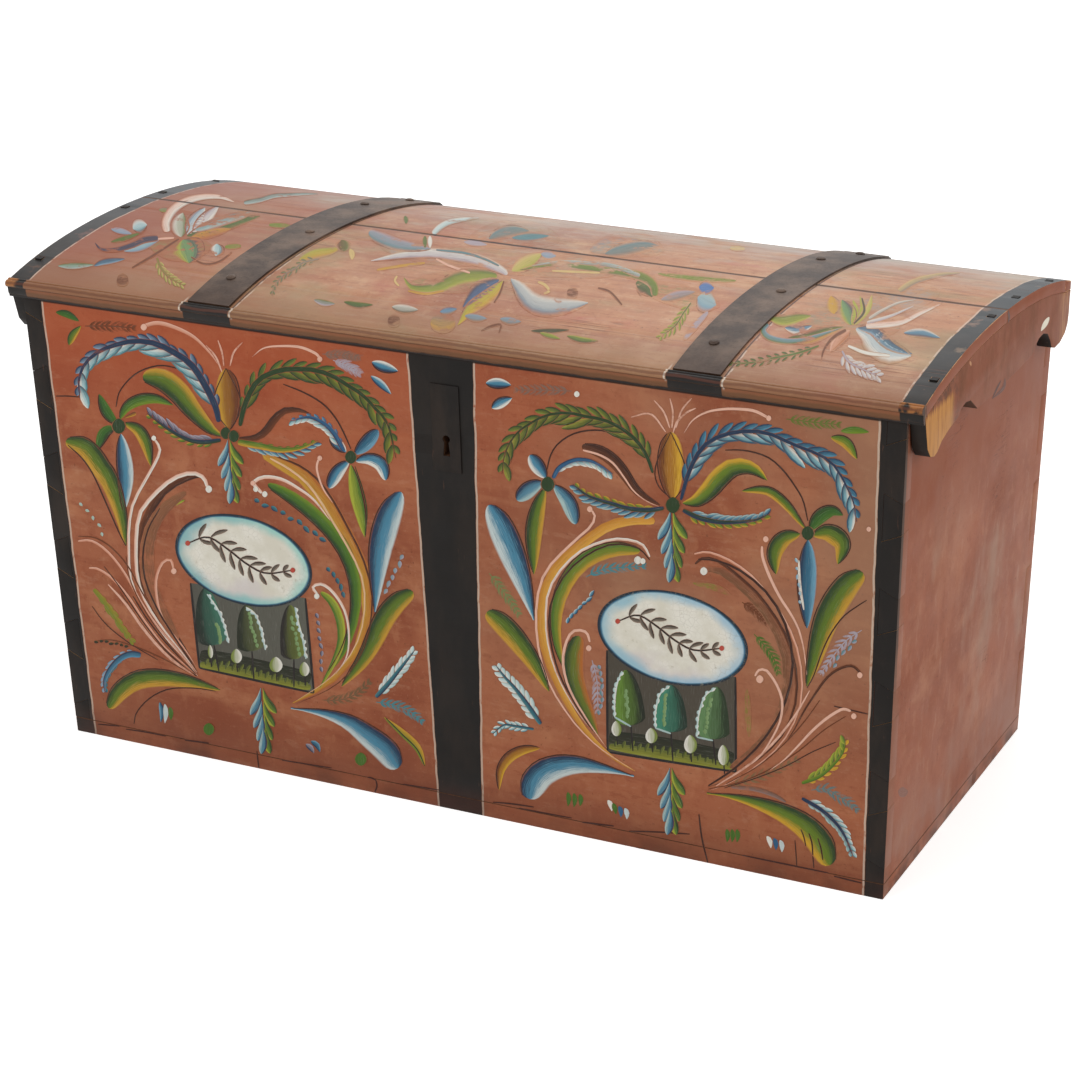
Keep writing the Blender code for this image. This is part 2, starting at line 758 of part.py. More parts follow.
def make_hinges(back_panel):
    for middle, side_name in zip(strap_middles, strap_names):
        leaf = add_leaf("back_leaf_" + side_name, middle)
        add_pin("hinge_pin_" + side_name, middle)
        for number, share in enumerate(leaf_nail_shares, 1):
            z = rim_height - gap - leaf_length * share
            place = (middle, half_depth(z) + gap + strap_thickness + gap, z)
            turn = (-math.pi / 2 - lean_angle, 0, 0)
            hole = nail_hole("leaf_nail_hole_%s_%d" % (side_name, number), case_frame, place, turn)
            combine(leaf, hole)
            combine(back_panel, hole)
            add_nail("leaf_nail_%s_%d" % (side_name, number), case_frame, place, turn)


# Lock. Its frame stands on the inner face of the front board, at the key's centre: x along the case,
# y into the chest and z up the face.

plate_face = gap + lock_plate_thickness
cover_face = plate_face + gap
bolt_front = plate_face + gap
tip_right = -staple_thickness / 2 - bolt_tip_clear
bolt_tip = bolt_throw - bolt_tip_clear + bolt_shoulder_clear
body_right = tip_right - bolt_tip
body_left = body_right - bolt_body_length


def keyhole_outline():
    # Round above, from one side of the slot over the top to the other, and flared towards its foot.
    opening = math.asin(keyhole_slot_top / keyhole_radius)
    points = []
    for step in range(keyhole_sides + 1):
        angle = opening - math.pi / 2 + 2 * (math.pi - opening) * step / keyhole_sides
        points.append((keyhole_radius * math.cos(angle), keyhole_radius * math.sin(angle)))
    points.append((-keyhole_slot_foot, -keyhole_drop))
    points.append((keyhole_slot_foot, -keyhole_drop))
    return points


def lock_outline(name, outlines, front, thickness, finish=None):
    place = (0, front + thickness / 2, 0)
    return add_outline(name, outlines, thickness, lock_frame, finish, place, face_turn)


def rectangle(left, right, low, high):
    return [(left, low), (right, low), (right, high), (left, high)]


def lock_nail_places():
    for across in (-1, 1):
        for up in (lock_plate_over - lock_nail_inset, -lock_plate_under + lock_nail_inset):
            yield (across * (lock_plate_half - lock_nail_inset), plate_face + gap, up)


def make_lock(front_panel):
    through = wall + 2 * overrun
    keyhole = lock_outline("keyhole_cut", [keyhole_outline()], -wall - overrun, through)
    combine(front_panel, keyhole)

    outside = -wall - gap - keyhole_plate_thickness
    half = keyhole_plate_width / 2
    outline = rectangle(-half, half, -keyhole_plate_under, keyhole_plate_over)
    lock_outline("keyhole_plate", [outline, keyhole_outline()], outside, keyhole_plate_thickness,
                 "painted_iron")

    outline = rectangle(-lock_plate_half, lock_plate_half, -lock_plate_under, lock_plate_over)
    plate = lock_outline("lock_plate", [outline, keyhole_outline()], gap, lock_plate_thickness, "bare_iron")
    for number, place in enumerate(lock_nail_places(), 1):
        turn = (-math.pi / 2, 0, 0)
        hole = nail_hole("lock_nail_hole_%d" % number, lock_frame, place, turn)
        combine(plate, hole)
        combine(front_panel, hole)
        add_nail("lock_nail_%d" % number, lock_frame, place, turn)

    make_lock_cover()
    make_bolt()
    pin_middle = cover_face + lock_cover_depth - lock_sheet - gap - drill_pin_length / 2
    add_rod("lock_drill_pin", drill_pin_radius, drill_pin_length, lock_frame, "bare_iron",
            (0, pin_middle, 0), face_turn, nail_sides)
    make_spring()


def make_lock_cover():
    low = (-lock_cover_half, cover_face, -lock_cover_under)
    high = (lock_cover_half, cover_face + lock_cover_depth, lock_cover_over)
    cover = add_blocks("lock_cover", [straight_block(low, high)], lock_frame, "bare_iron")
    shape = bmesh.new()
    shape.from_mesh(cover.data)
    open_side = [face for face in shape.faces if face.normal.y < -math.cos(sharp_angle)]
    bmesh.ops.delete(shape, geom=open_side, context='FACES_ONLY')
    shape.to_mesh(cover.data)
    shape.free()
    sheet = cover.modifiers.new("sheet", 'SOLIDIFY')
    sheet.thickness = lock_sheet
    sheet.offset = -1
    sheet.use_even_offset = True
    half = staple_thickness / 2 + staple_slot_play
    near = staple_behind_plate + plate_face - staple_slot_play
    far = staple_behind_plate + plate_face + staple_depth + staple_slot_play
    slot = straight_block((-half, near, lock_cover_over - lock_sheet - overrun),
                          (half, far, lock_cover_over + overrun))
    combine(cover, add_blocks("staple_slot", [slot], lock_frame))


def make_bolt():
    top = bolt_height + bolt_half
    under = bolt_height - bolt_half
    leg_right = body_left + bolt_leg
    foot_right = leg_right + bolt_foot_reach
    foot_top = bolt_foot_height + bolt_leg
    outline = [
        (body_left, top), (body_left, bolt_foot_height), (foot_right, bolt_foot_height),
        (foot_right, foot_top), (leg_right, foot_top), (leg_right, under),
        (tip_right, under), (tip_right, top),
    ]
    bolt = lock_outline("lock_bolt", [outline], bolt_front, bolt_thickness, "bare_iron")
    tip_front = bolt_front + bolt_thickness - bolt_tip_thickness
    waste = straight_block((body_right, bolt_front - overrun, under - overrun),
                           (tip_right + overrun, tip_front, top + overrun))
    combine(bolt, add_blocks("lock_bolt_waste", [waste], lock_frame))


def make_spring():
    # A bent leaf from the cover's side down on to the bolt.
    start = -lock_cover_half + lock_sheet + gap
    rest = bolt_height + bolt_half + gap + spring_thickness / 2
    ceiling = lock_cover_over - lock_sheet - 2 * spring_thickness
    path = [(start + (body_right - start) * along, ceiling + (rest - ceiling) * down)
            for along, down in spring_shares]
    lock_outline("lock_spring", [band_outline(path, spring_thickness)], bolt_front + spring_thickness,
                 spring_width, "bare_iron")


def make_staple(front_board):
    # Hangs from the front board of the lid; the bolt slides through its hole when the lid is shut.
    cos, sin = math.cos(lean_angle), math.sin(lean_angle)
    into = plate_face + staple_behind_plate
    bolt_back = bolt_front + bolt_thickness
    hole_into = bolt_back - bolt_tip_thickness / 2
    hole_y = lock_place[1] + hole_into * cos - bolt_height * sin
    hole_z = lock_place[2] + hole_into * sin + bolt_height * cos
    front = lock_place[1] + into * cos - lock_cover_over * sin
    back = front + staple_depth
    middle = (front + back) / 2
    flange_front, flange_back = middle - staple_flange_depth / 2, middle + staple_flange_depth / 2
    ceiling = min(lid_under(flange_front), lid_under(flange_back)) - gap
    foot = hole_z - staple_hole_height / 2 - staple_end
    root, bevel = ceiling - staple_flange / 2, staple_end / 2
    outline = [(front, root), (front, foot + staple_end), (front + bevel, foot),
               (back - bevel, foot), (back, foot + staple_end), (back, root)]
    hole = rectangle(hole_y - staple_hole_depth / 2, hole_y + staple_hole_depth / 2,
                     hole_z - staple_hole_height / 2, hole_z + staple_hole_height / 2)
    staple = add_outline("lid_staple", [outline, hole], staple_thickness, lid_frame, "bare_iron",
                         (key_x, 0, 0), side_turn)
    half = staple_flange_length / 2
    flange = straight_block((key_x - half, flange_front, ceiling - staple_flange),
                            (key_x + half, flange_back, ceiling))
    combine(staple, add_blocks("lid_staple_flange", [flange], lid_frame), 'UNION')
    for number, way in enumerate((-1, 1), 1):
        place = (key_x + way * (half - staple_nail_inset), middle, ceiling - staple_flange - gap)
        nail_name = "staple_nail_%d" % number
        hole = nail_hole(nail_name + "_hole", lid_frame, place, under_turn)
        combine(staple, hole)
        combine(front_board, hole)
        add_nail(nail_name, lid_frame, place, under_turn)


make_case()
make_bottom()
make_till()
make_lid()
make_moulding()
make_hinges(bpy.data.objects["back_panel"])
make_lock(bpy.data.objects["front_panel"])
make_staple(bpy.data.objects["lid_front_board"])
bpy.context.view_layer.update()
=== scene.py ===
import json
import math
import random
from collections import namedtuple
from functools import reduce

import bmesh
import bpy
from mathutils import Matrix, Vector


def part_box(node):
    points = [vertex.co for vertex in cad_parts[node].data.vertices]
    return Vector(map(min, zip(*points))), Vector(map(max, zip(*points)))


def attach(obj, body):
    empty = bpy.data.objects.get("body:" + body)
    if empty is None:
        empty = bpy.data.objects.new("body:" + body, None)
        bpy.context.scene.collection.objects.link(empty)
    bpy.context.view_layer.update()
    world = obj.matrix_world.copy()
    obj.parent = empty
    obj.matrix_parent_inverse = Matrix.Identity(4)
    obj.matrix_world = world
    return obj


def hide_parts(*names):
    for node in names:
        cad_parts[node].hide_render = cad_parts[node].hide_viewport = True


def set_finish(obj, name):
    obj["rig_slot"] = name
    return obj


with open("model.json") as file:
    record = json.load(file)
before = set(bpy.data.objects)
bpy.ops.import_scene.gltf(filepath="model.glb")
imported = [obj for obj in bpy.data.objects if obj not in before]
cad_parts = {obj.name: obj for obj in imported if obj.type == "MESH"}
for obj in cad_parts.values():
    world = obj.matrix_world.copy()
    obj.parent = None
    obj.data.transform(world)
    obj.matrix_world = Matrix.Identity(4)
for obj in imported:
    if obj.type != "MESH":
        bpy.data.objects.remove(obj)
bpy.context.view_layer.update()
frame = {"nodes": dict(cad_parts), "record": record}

mm = 0.001

# The photograph's camera: place in metres, turns in degrees, focal length in pixels of its frame
photoView = dict(place=(1.5691, -3.1649, 1.6841), turn=26.4152, dip=21.9744, roll=-1.0175,
                 focalPixels=3085.47, framePixels=1080, filmWidth=36.0)

studio = dict(
    ambient=0.54,                # light of the pale room on the chest
    backdrop=(1.0, 1.0, 1.0),
    floorSize=30.0,
    floorColour="F2F1EF",
    floorGlow=0.55,
    lamps=[                      # place, aimed at, size, watts
        ((-1.7, -3.4, 3.2), (0.0, 0.0, 0.35), 2.6, 56.0),
        ((3.6, -1.2, 2.6), (0.3, 0.0, 0.35), 2.4, 42.0),
        ((-0.4, 2.2, 3.4), (0.0, 0.0, 0.5), 2.8, 37.0),
    ],
)

# Paints and woods, as they look in even light
paints = dict(
    navy="1B2F48", blue="2C587A", sky="6A98AE", teal="3F7C84", deepTeal="244C60", mist="A3BAB6",
    white="DCD9CE", pale="BFCAC8",
    forest="22371A", green="41641F", leaf="68801F", lime="A0A536", ochre="BC8E30", yellow="C89A2E",
    straw="CDB273", brown="623319", umber="33190F", orange="A8622A", rose="DDAE98", blush="C68468",
    lilac="A39AA4", soot="1E1816", red="B1483A", grey="7E7264", olive="7C7434", crack="35170F",
    # Tints of the front and the bands
    dullClay="9A745A", brickRed="A54A28", footBrown="7A452F", coal="120D0A", wornCoal="261D17",
    scuff="634232", pitch="0A0705", chalk="C4B09E", chipRed="8E4A34", rimShadow="180E0A",
    floorGrime="4A2A20",
    # Of the lid, with the pale grey of its painted sheen
    dullOlive="958A66", dullRose="B05C50", wornGrey="A9A296", paintedSheenGrey="BCB8B0", warmBrown="8C4628",
    hemBrown="8E684A", strapShadow="3A211A", greyBlack="565C60", lidChalk="D5C3B2", seamDark="2A140C",
    fissure="6A4030",
    # Of its front moulding, with its painted shade and shadow
    noseHaze="7C5A3C", noseUnderShade="8A5436", hollowShade="66442A", undersideShadow="1B120E",
    bareOrange="A56A38", noseChalk="D8CBBB", groove="5E3426",
    # Of the ends of the case
    highRust="84462B", lowDust="9A7263", sideGrime="4A2B20", scratch="55301F", greyRub="7E6253",
    # Of the cleats
    cleatDark="74492F", cleatLight="A4623A", cleatBrown="6A3210", earWood="BA8244", earGrain="A26C38",
    earDirt="3E2A1C", rearWood="A8744A",
    # Of bare wood
    stain="5E3F28", knot="4A2C18", grit="2E1A12",
    # Of the iron, with the painted shade of the straps' lower part
    rust="6B4230", pit="1E1917", strapLowShade="36200F",
    # Of the ovals
    ovalShade="D3CEBE", ovalLight="E2DED2", ovalFoot="C9BFC4", ovalRim="2C5F7A", ovalLine="15222E",
    crackle="98917F", foxing="A79D84",
)

# What lies between two paints where they meet wet in wet
between = {
    ("navy", "white"): "467F98", ("navy", "pale"): "467F98",
    ("navy", "sky"): "2F6078", ("blue", "navy"): "2A567A", ("mist", "navy"): "4F7E92",
    ("deepTeal", "white"): "7FAAB2", ("mist", "white"): "BFD0CE", ("teal", "white"): "A2C0C2",
    ("blue", "grey"): "5A86A0",
    ("forest", "ochre"): "566C1E", ("green", "ochre"): "6C7A24", ("forest", "yellow"): "5E7420",
    ("forest", "orange"): "5E6A22", ("forest", "green"): "32591E", ("forest", "leaf"): "42651F",
    ("forest", "lime"): "56702A", ("lime", "navy"): "5E8A5A",
    ("brown", "yellow"): "9E6A22", ("brown", "ochre"): "8A5A20",
}


def shade(name):
    code = paints.get(name, name)
    channels = [int(code[i:i + 2], 16) / 255 for i in (0, 2, 4)]
    linear = [c / 12.92 if c <= 0.04045 else ((c + 0.055) / 1.055) ** 2.4 for c in channels]
    return (*linear, 1.0)


class Wire:                      # a socket that takes part in sums
    def __init__(self, graph, socket):
        self.graph = graph
        self.socket = socket

    def join(self, operation, first, second):
        return self.graph.node("ShaderNodeMath", dict(operation=operation), {0: first, 1: second})

    def __add__(self, other):
        if self.socket.type == "VECTOR" or (isinstance(other, Wire) and other.socket.type == "VECTOR"):
            return self.graph.node("ShaderNodeVectorMath", dict(operation="ADD"), {0: self, 1: other})
        return self.join("ADD", self, other)

    def __sub__(self, other):
        return self.join("SUBTRACT", self, other)

    def __mul__(self, other):
        return self.join("MULTIPLY", self, other)

    def __rsub__(self, other):
        return self.join("SUBTRACT", other, self)

    def __abs__(self):
        return self.join("ABSOLUTE", self, 0.0)

    def root(self):
        return self.join("SQRT", self, 0.0)

    def folded(self, height):
        return self.join("PINGPONG", self, height)

    def least(self, other):
        return self.join("MINIMUM", self, other)

    def most(self, other):
        return self.join("MAXIMUM", self, other)

    def between(self, low, high):            # 0 below low, 1 above high, a soft step between
        ends = {"Value": self, "From Min": low, "From Max": high, "To Min": 0.0, "To Max": 1.0}
        return self.graph.node("ShaderNodeMapRange", dict(interpolation_type="SMOOTHSTEP"), ends)

    def part(self, axis):
        return self.graph.node("ShaderNodeSeparateXYZ", {}, {0: self}, axis)

    def stretch(self, scale):
        return self.graph.node("ShaderNodeVectorMath", dict(operation="MULTIPLY"), {0: self, 1: scale})

    def noise(self, scale, detail=3.0, roughness=0.5, twist=0.0):
        grain = {"Scale": scale, "Detail": detail, "Roughness": roughness, "Distortion": twist}
        return self.graph.node("ShaderNodeTexNoise", {}, {"Vector": self, **grain})

    def cells(self, scale, feature="F1"):
        inputs = {"Vector": self, "Scale": scale}
        return self.graph.node("ShaderNodeTexVoronoi", dict(feature=feature), inputs)

    def mix(self, other, mask):              # the other colour where the mask is 1
        return self.graph.node("ShaderNodeMix", dict(data_type="RGBA"), {0: mask, 6: self, 7: other}, 2)

    def glaze(self, paint, mask, strength=None):         # a coat of paint over this colour
        return self.mix(shade(paint), mask if strength is None else mask * strength)

    def blend(self, first, second):          # this mask between two paints
        colours = {0: self, 6: shade(first), 7: shade(second)}
        return self.graph.node("ShaderNodeMix", dict(data_type="RGBA"), colours, 2)

    __radd__ = __add__
    __rmul__ = __mul__


class Graph:                     # the nodes of a new material, or of an owner such as the world
    def __init__(self, name, owner=None):
        self.owner = owner or bpy.data.materials.new(name)
        self.owner.use_nodes = True
        self.tree = self.owner.node_tree
        self.tree.nodes.clear()

    def node(self, kind, settings, inputs, output=0):
        made = self.tree.nodes.new(kind)
        for key, value in settings.items():
            setattr(made, key, value)
        for key, value in inputs.items():
            if isinstance(value, Wire):
                self.tree.links.new(value.socket, made.inputs[key])
            else:
                made.inputs[key].default_value = value
        return Wire(self, made.outputs[output])

    def place(self):
        return self.node("ShaderNodeTexCoord", {}, {}, "Object")

    def finish(self, colour, roughness, height, depth, specular=0.2, metallic=0.0):
        normal = self.node("ShaderNodeBump", {}, {"Strength": 1.0, "Distance": depth, "Height": height})
        look = {"Roughness": roughness, "Specular IOR Level": specular, "Metallic": metallic}
        surface = {"Base Color": colour, "Normal": normal, **look}
        return self.close(self.node("ShaderNodeBsdfPrincipled", {}, surface))

    def close(self, surface, kind="ShaderNodeOutputMaterial"):
        end = self.tree.nodes.new(kind)
        self.tree.links.new(surface.socket, end.inputs["Surface"])
        return self.owner


# Lines of the case and the lid, read from the CAD nodes
panelLow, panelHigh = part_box("front_panel")
plankLow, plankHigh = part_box("bottom_front_plank")
backStripLow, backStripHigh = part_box("lid_back_strip")
mouldingLow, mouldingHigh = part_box("lid_front_moulding")
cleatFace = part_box("lid_right_cleat")[1].x
strapNodes = ["lid_strap_left", "lid_strap_right"]
rim = panelHigh.z
frontAtRim = panelLow.y
frontLean = (plankLow.y - frontAtRim) / (rim - plankHigh.z)      # inwards per metre down
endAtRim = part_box("right_end")[1].x
endLean = (endAtRim - plankHigh.x) / (rim - plankHigh.z)

lidArch = dict(front=frontAtRim, back=backStripHigh.y, frontEdge=21.5 * mm, backEdge=11.5 * mm,
               rise=31.0 * mm, shoulder=6.0 * mm)

seamSkew = (35.3 - 12.3) / 1158              # the front seam of the lid runs slightly askew
seamMiddle = 23.8 * mm
frontFoot = 0.8 * mm                         # no mark of the front comes nearer to the floor
backHem = 2.0 * mm                           # and none of the lid nearer to its back edge
smoothBelow = math.radians(34)               # edges blunter than this are shaded as round


def lidTop(y):
    arch = lidArch
    share = (2 * y - arch["front"] - arch["back"]) / (arch["back"] - arch["front"])
    line = (arch["frontEdge"] + arch["backEdge"]) / 2 - share * (arch["frontEdge"] - arch["backEdge"]) / 2
    return rim + line + arch["rise"] * (1 - share ** 2) + arch["shoulder"] * (share ** 2 - share ** 4)


def photoTurn():
    turn = Matrix.Rotation(math.radians(photoView["turn"]), 4, "Z")
    dip = Matrix.Rotation(math.radians(90 - photoView["dip"]), 4, "X")
    roll = Matrix.Rotation(math.radians(photoView["roll"]), 4, "Z")
    return turn @ dip @ roll


photoPlace = Vector(photoView["place"])
photoAxes = photoTurn().to_3x3()


def pixelRay(px, py):
    half = photoView["framePixels"] / 2
    return photoAxes @ Vector((px - half, half - py, -photoView["focalPixels"]))


def onPlane(px, py, start, outward):
    # The point of a plane that the photograph shows at this pixel
    ray = pixelRay(px, py)
    return photoPlace + ray * ((start - photoPlace).dot(outward) / ray.dot(outward))


def onFront(px, py, lift):
    # A mark that would run past the foot ends just above it
    outward = Vector((0, -1, -frontLean)).normalized()
    place = onPlane(px, py, Vector((0, frontAtRim, rim)), outward)
    place += Vector((0, -frontLean, 1)) * max(0.0, frontFoot - place.z)
    return place + outward * lift


def onRightSide(px, py, lift):
    outward = Vector((1, 0, -endLean)).normalized()
    return onPlane(px, py, Vector((endAtRim, 0, rim)), outward) + outward * lift


def onRightCleat(px, py, lift):
    outward = Vector((1, 0, 0))
    return onPlane(px, py, Vector((cleatFace, 0, 0)), outward) + outward * lift


def onLid(px, py, lift):
    # The same on the lid's arch: the height and the place settle by turns
    ray = pixelRay(px, py)
    height = lidTop(0)
    for _ in range(24):
        place = photoPlace + ray * ((height - photoPlace.z) / ray.z)
        place.y = min(place.y, lidArch["back"] - backHem)
        height = lidTop(place.y)
    place.z = height
    step = 1 * mm
    slope = (lidTop(place.y + step) - lidTop(place.y - step)) / (2 * step)
    return place + Vector((0, -slope, 1)).normalized() * lift


def makeObject(name, bm, materials, body, slot, smooth=False):
    mesh = bpy.data.meshes.new(name)
    bm.to_mesh(mesh)
    bm.free()
    if smooth:
        mesh.shade_smooth()
        mesh.set_sharp_from_angle(angle=smoothBelow)
    for material in materials:
        mesh.materials.append(material)
    made = bpy.data.objects.new(name, mesh)
    bpy.context.scene.collection.objects.link(made)
    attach(made, body)
    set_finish(made, slot)
    return made


# Camera, lamps and the pale floor
def makeStudio():
    scene = bpy.context.scene
    scene.view_settings.view_transform = "Standard"
    data = bpy.data.cameras.new("photo_camera")
    data.sensor_width = photoView["filmWidth"]
    data.lens = photoView["focalPixels"] / photoView["framePixels"] * photoView["filmWidth"]
    camera = bpy.data.objects.new("photo_camera", data)
    camera.matrix_world = Matrix.Translation(photoPlace) @ photoTurn()
    scene.collection.objects.link(camera)
    scene.camera = camera
    for index, (place, target, size, watts) in enumerate(studio["lamps"]):
        lamp = bpy.data.lights.new(f"lamp_{index}", "AREA")
        lamp.shape = "DISK"
        lamp.size = size
        lamp.energy = watts
        holder = bpy.data.objects.new(f"lamp_{index}", lamp)
        aim = (Vector(target) - Vector(place)).to_track_quat("-Z", "Y")
        holder.matrix_world = Matrix.Translation(place) @ aim.to_matrix().to_4x4()
        scene.collection.objects.link(holder)
    makeWorld(scene)
    makeFloor()


def seenDirectly(graph):
    # 1 for what the camera sees, straight or in a reflection
    seen = [graph.node("ShaderNodeLightPath", {}, {}, f"Is {kind} Ray") for kind in ("Camera", "Glossy")]
    return seen[0].most(seen[1]).most(graph.node("ShaderNodeLightPath", {}, {}, "Is Transmission Ray"))


def makeWorld(scene):
    world = bpy.data.worlds.new("pale_room")
    scene.world = world
    graph = Graph("pale_room", world)
    room = graph.node("ShaderNodeBackground", {}, {"Color": (1, 1, 1, 1), "Strength": studio["ambient"]})
    backdrop = graph.node("ShaderNodeBackground", {}, {"Color": (*studio["backdrop"], 1), "Strength": 1.0})
    both = graph.node("ShaderNodeMixShader", {}, {0: seenDirectly(graph), 1: room, 2: backdrop})
    graph.close(both, "ShaderNodeOutputWorld")


def makeFloor():
    graph = Graph("pale_floor")
    plain = graph.node("ShaderNodeBsdfDiffuse", {}, {"Color": shade(studio["floorColour"])})
    glow = graph.node("ShaderNodeEmission", {}, {"Color": (1, 1, 1, 1), "Strength": studio["floorGlow"]})
    lit = graph.node("ShaderNodeAddShader", {}, {0: plain, 1: glow})
    graph.close(graph.node("ShaderNodeMixShader", {}, {0: seenDirectly(graph), 1: plain, 2: lit}))
    bm = bmesh.new()
    bmesh.ops.create_grid(bm, x_segments=1, y_segments=1, size=studio["floorSize"] / 2)
    mesh = bpy.data.meshes.new("floor")
    bm.to_mesh(mesh)
    bm.free()
    mesh.materials.append(graph.owner)
    floor = bpy.data.objects.new("floor", mesh)
    bpy.context.scene.collection.objects.link(floor)


makeStudio()
print("studio ready")

# The old red-brown ground paint, its black bands and its white lines
grounds = dict(
    front=dict(deep="85442B", middle="9F5E40", light="B17552", grain=(1.6, 60, 46), mottle=4.2,
               wipe=(34, 34, 90), dusty="B98A6C"),
    lid=dict(deep="9C634A", middle="BC8664", light="CFA784", grain=(1.4, 60, 46), mottle=4.0,
             wipe=(30, 90, 30), dusty="C9B49C"),
    side=dict(deep="86492F", middle="9A5B41", light="AA7256", grain=(60, 5.0, 3.0), mottle=5.0,
              wipe=(34, 60, 22), dusty="B48A72"),
    back=dict(deep="743E2C", middle="854B39", light="935D49", grain=(1.6, 60, 46), mottle=4.0,
              wipe=(34, 34, 90), dusty="9A745E"),
)


# Washes over the ground: how the noise is stretched, its scale, detail and roughness, then each coat:
# paint, from where to where of the noise, strength
washes = dict(
    rubbed=((1.0, 1.0, 1.6), (9.0, 4.0, 0.6), ("light", 0.50, 0.74, 0.75)),
    streaks=("grain", (1.0, 4.0, 0.62), ("deep", 0.52, 0.72, 0.45), ("light", 0.48, 0.30, 0.35)),
    wiped=("wipe", (1.0, 4.0, 0.68), ("deep", 0.56, 0.68, 0.5), ("dusty", 0.45, 0.30, 0.26)),
    smeared=((1.0, 1.0, 0.6), (46.0, 4.0, 0.68), ("light", 0.54, 0.70, 0.35), ("deep", 0.46, 0.32, 0.35)),
    specks=(None, (210.0, 3.0, 0.7), ("dusty", 0.42, 0.28, 0.2), ("umber", 0.62, 0.74, 0.5)),
)


def groundPaint(place, tone):
    mottle = place.noise(tone["mottle"], 5.0, 0.62)
    colour = mottle.between(0.34, 0.60).blend(tone["deep"], tone["middle"])
    for stretch, grain, *coats in washes.values():
        spread = place.stretch(tone.get(stretch, stretch)) if stretch else place
        noise = spread.noise(*grain)
        for paint, low, high, strength in coats:
            colour = colour.glaze(tone.get(paint, paint), noise.between(low, high), strength)
    return colour


def frontGround(place):
    # Redder at the upper left, duller towards the right, browner near the floor
    x, z = place.part("X"), place.part("Z")
    colour = groundPaint(place, grounds["front"])
    patches = place.noise(3.2, 3.0, 0.6)
    dull = (x + patches * 0.5).between(0.10, 0.52)
    dull = dull * patches.between(0.34, 0.58) * z.between(0.06, 0.42)
    colour = colour.glaze("dullClay", dull, 0.7)
    red = z.between(0.34, 0.56) * (x - patches * 0.8).between(0.20, -0.75)
    colour = colour.glaze("brickRed", red, 0.62)
    return colour.glaze("footBrown", (z + patches * 0.1).between(0.16, 0.05), 0.6)


def lidGround(place):
    # Worn: dull olive, grey and rosy patches over a browner left end, with a painted sheen of pale grey
    # towards the back
    x, y = place.part("X"), place.part("Y")
    colour = groundPaint(place, grounds["lid"])
    tired = place.stretch((1.0, 1.6, 1.0)).noise(6.0, 5.0, 0.62)
    colour = colour.glaze("dullOlive", tired.between(0.50, 0.68), 0.48)
    colour = colour.glaze("dullRose", tired.between(0.44, 0.28), 0.60)
    greyed = place.stretch((1.3, 2.0, 1.0)).noise(9.0, 4.0, 0.6)
    colour = colour.glaze("wornGrey", greyed.between(0.52, 0.70) * y.between(-0.18, 0.10), 0.42)
    # Painted sheen: pale grey in patches over the back of the lid
    colour = colour.glaze("paintedSheenGrey", y.between(0.04, 0.24) * greyed.between(0.30, 0.55), 0.6)
    brown = (x + tired * 0.4).between(0.10, -0.42)
    colour = colour.glaze("warmBrown", brown, 0.95)
    front = (y + tired * 0.05).between(-0.150, -0.215)
    return colour.glaze("hemBrown", front, 0.55)


def sideGround(place):
    return groundPaint(place, grounds["side"])


groundOf = dict(front=frontGround, lid=lidGround, side=sideGround)


def paintRelief(place, tone):
    streaks = place.stretch(tone["grain"]).noise(2.4, 5.0, 0.6)
    fine = place.noise(260.0, 3.0, 0.6)
    return streaks * 0.7 + fine * 0.3


# Edges of the front's bands in mm from the middle: at the rim, at the floor
frontBands = dict(left=(-535.0, -516.0), right=(530.5, 519.9),
                  middleLeft=(-35.4, -21.6), middleRight=(46.4, 35.1))
frontLines = dict(left=1.4, right=-1.4, middleLeft=-1.3, middleRight=1.4)      # mm from the band's edge
lidBand = 553.0                              # from here on the lid is black, mm from the middle
lidLine = 1.2                                # its white line, mm inside that edge
# Distances of the white lines from the straps, the place of the painted shadow along each strap's right
# edge, and the widths of both, in mm
strapTrace = dict(right=2.4 * mm, left=1.8 * mm, gap=0.5 * mm, line=(0.7, 1.5), shadowSpread=(0.4, 1.7))
softEdge = 0.4 * mm                          # half the width over which an edge of black fades
wander = 0.004                               # how far such an edge strays, in metres


def near(distance, full, gone):              # 1 up to full mm off on either side, 0 from gone mm on
    return abs(distance).between(gone * mm, full * mm)


def within(x, low, high):                    # 1 between two edges, both soft
    return (x - low).between(-softEdge, softEdge).least((x - high).between(softEdge, -softEdge))


def strongest(masks):
    return reduce(Wire.most, masks)


def bandEdge(z, ends, wobble):
    atRim, atFloor = ends[0] * mm, ends[1] * mm
    return z * ((atRim - atFloor) / rim) + atFloor + wobble


def blackPaint(place):
    cloud = place.stretch((1.0, 1.0, 0.35)).noise(26.0, 4.0, 0.6)
    colour = cloud.between(0.40, 0.72).blend("coal", "wornCoal")
    scuffs = place.stretch((3.0, 3.0, 0.5)).noise(60.0, 3.0, 0.65)
    return colour.glaze("scuff", scuffs.between(0.66, 0.80), 0.6)


def oldBlack():
    graph = Graph("old_black")
    place = graph.place()
    grain = place.noise(90.0, 3.0, 0.6)
    return graph.finish(blackPaint(place), grain * 0.2 + 0.5, grain, 0.2 * mm)


# Where the front is chipped, dark under the rim and grimy at the floor, in metres up
frontWear = dict(line=(0.8, 1.6), chipsAt=0.19, chipsReach=(0.07, 0.02), shadow=(-2.6 * mm, -1.2 * mm),
                 grime=(0.045, 0.0))


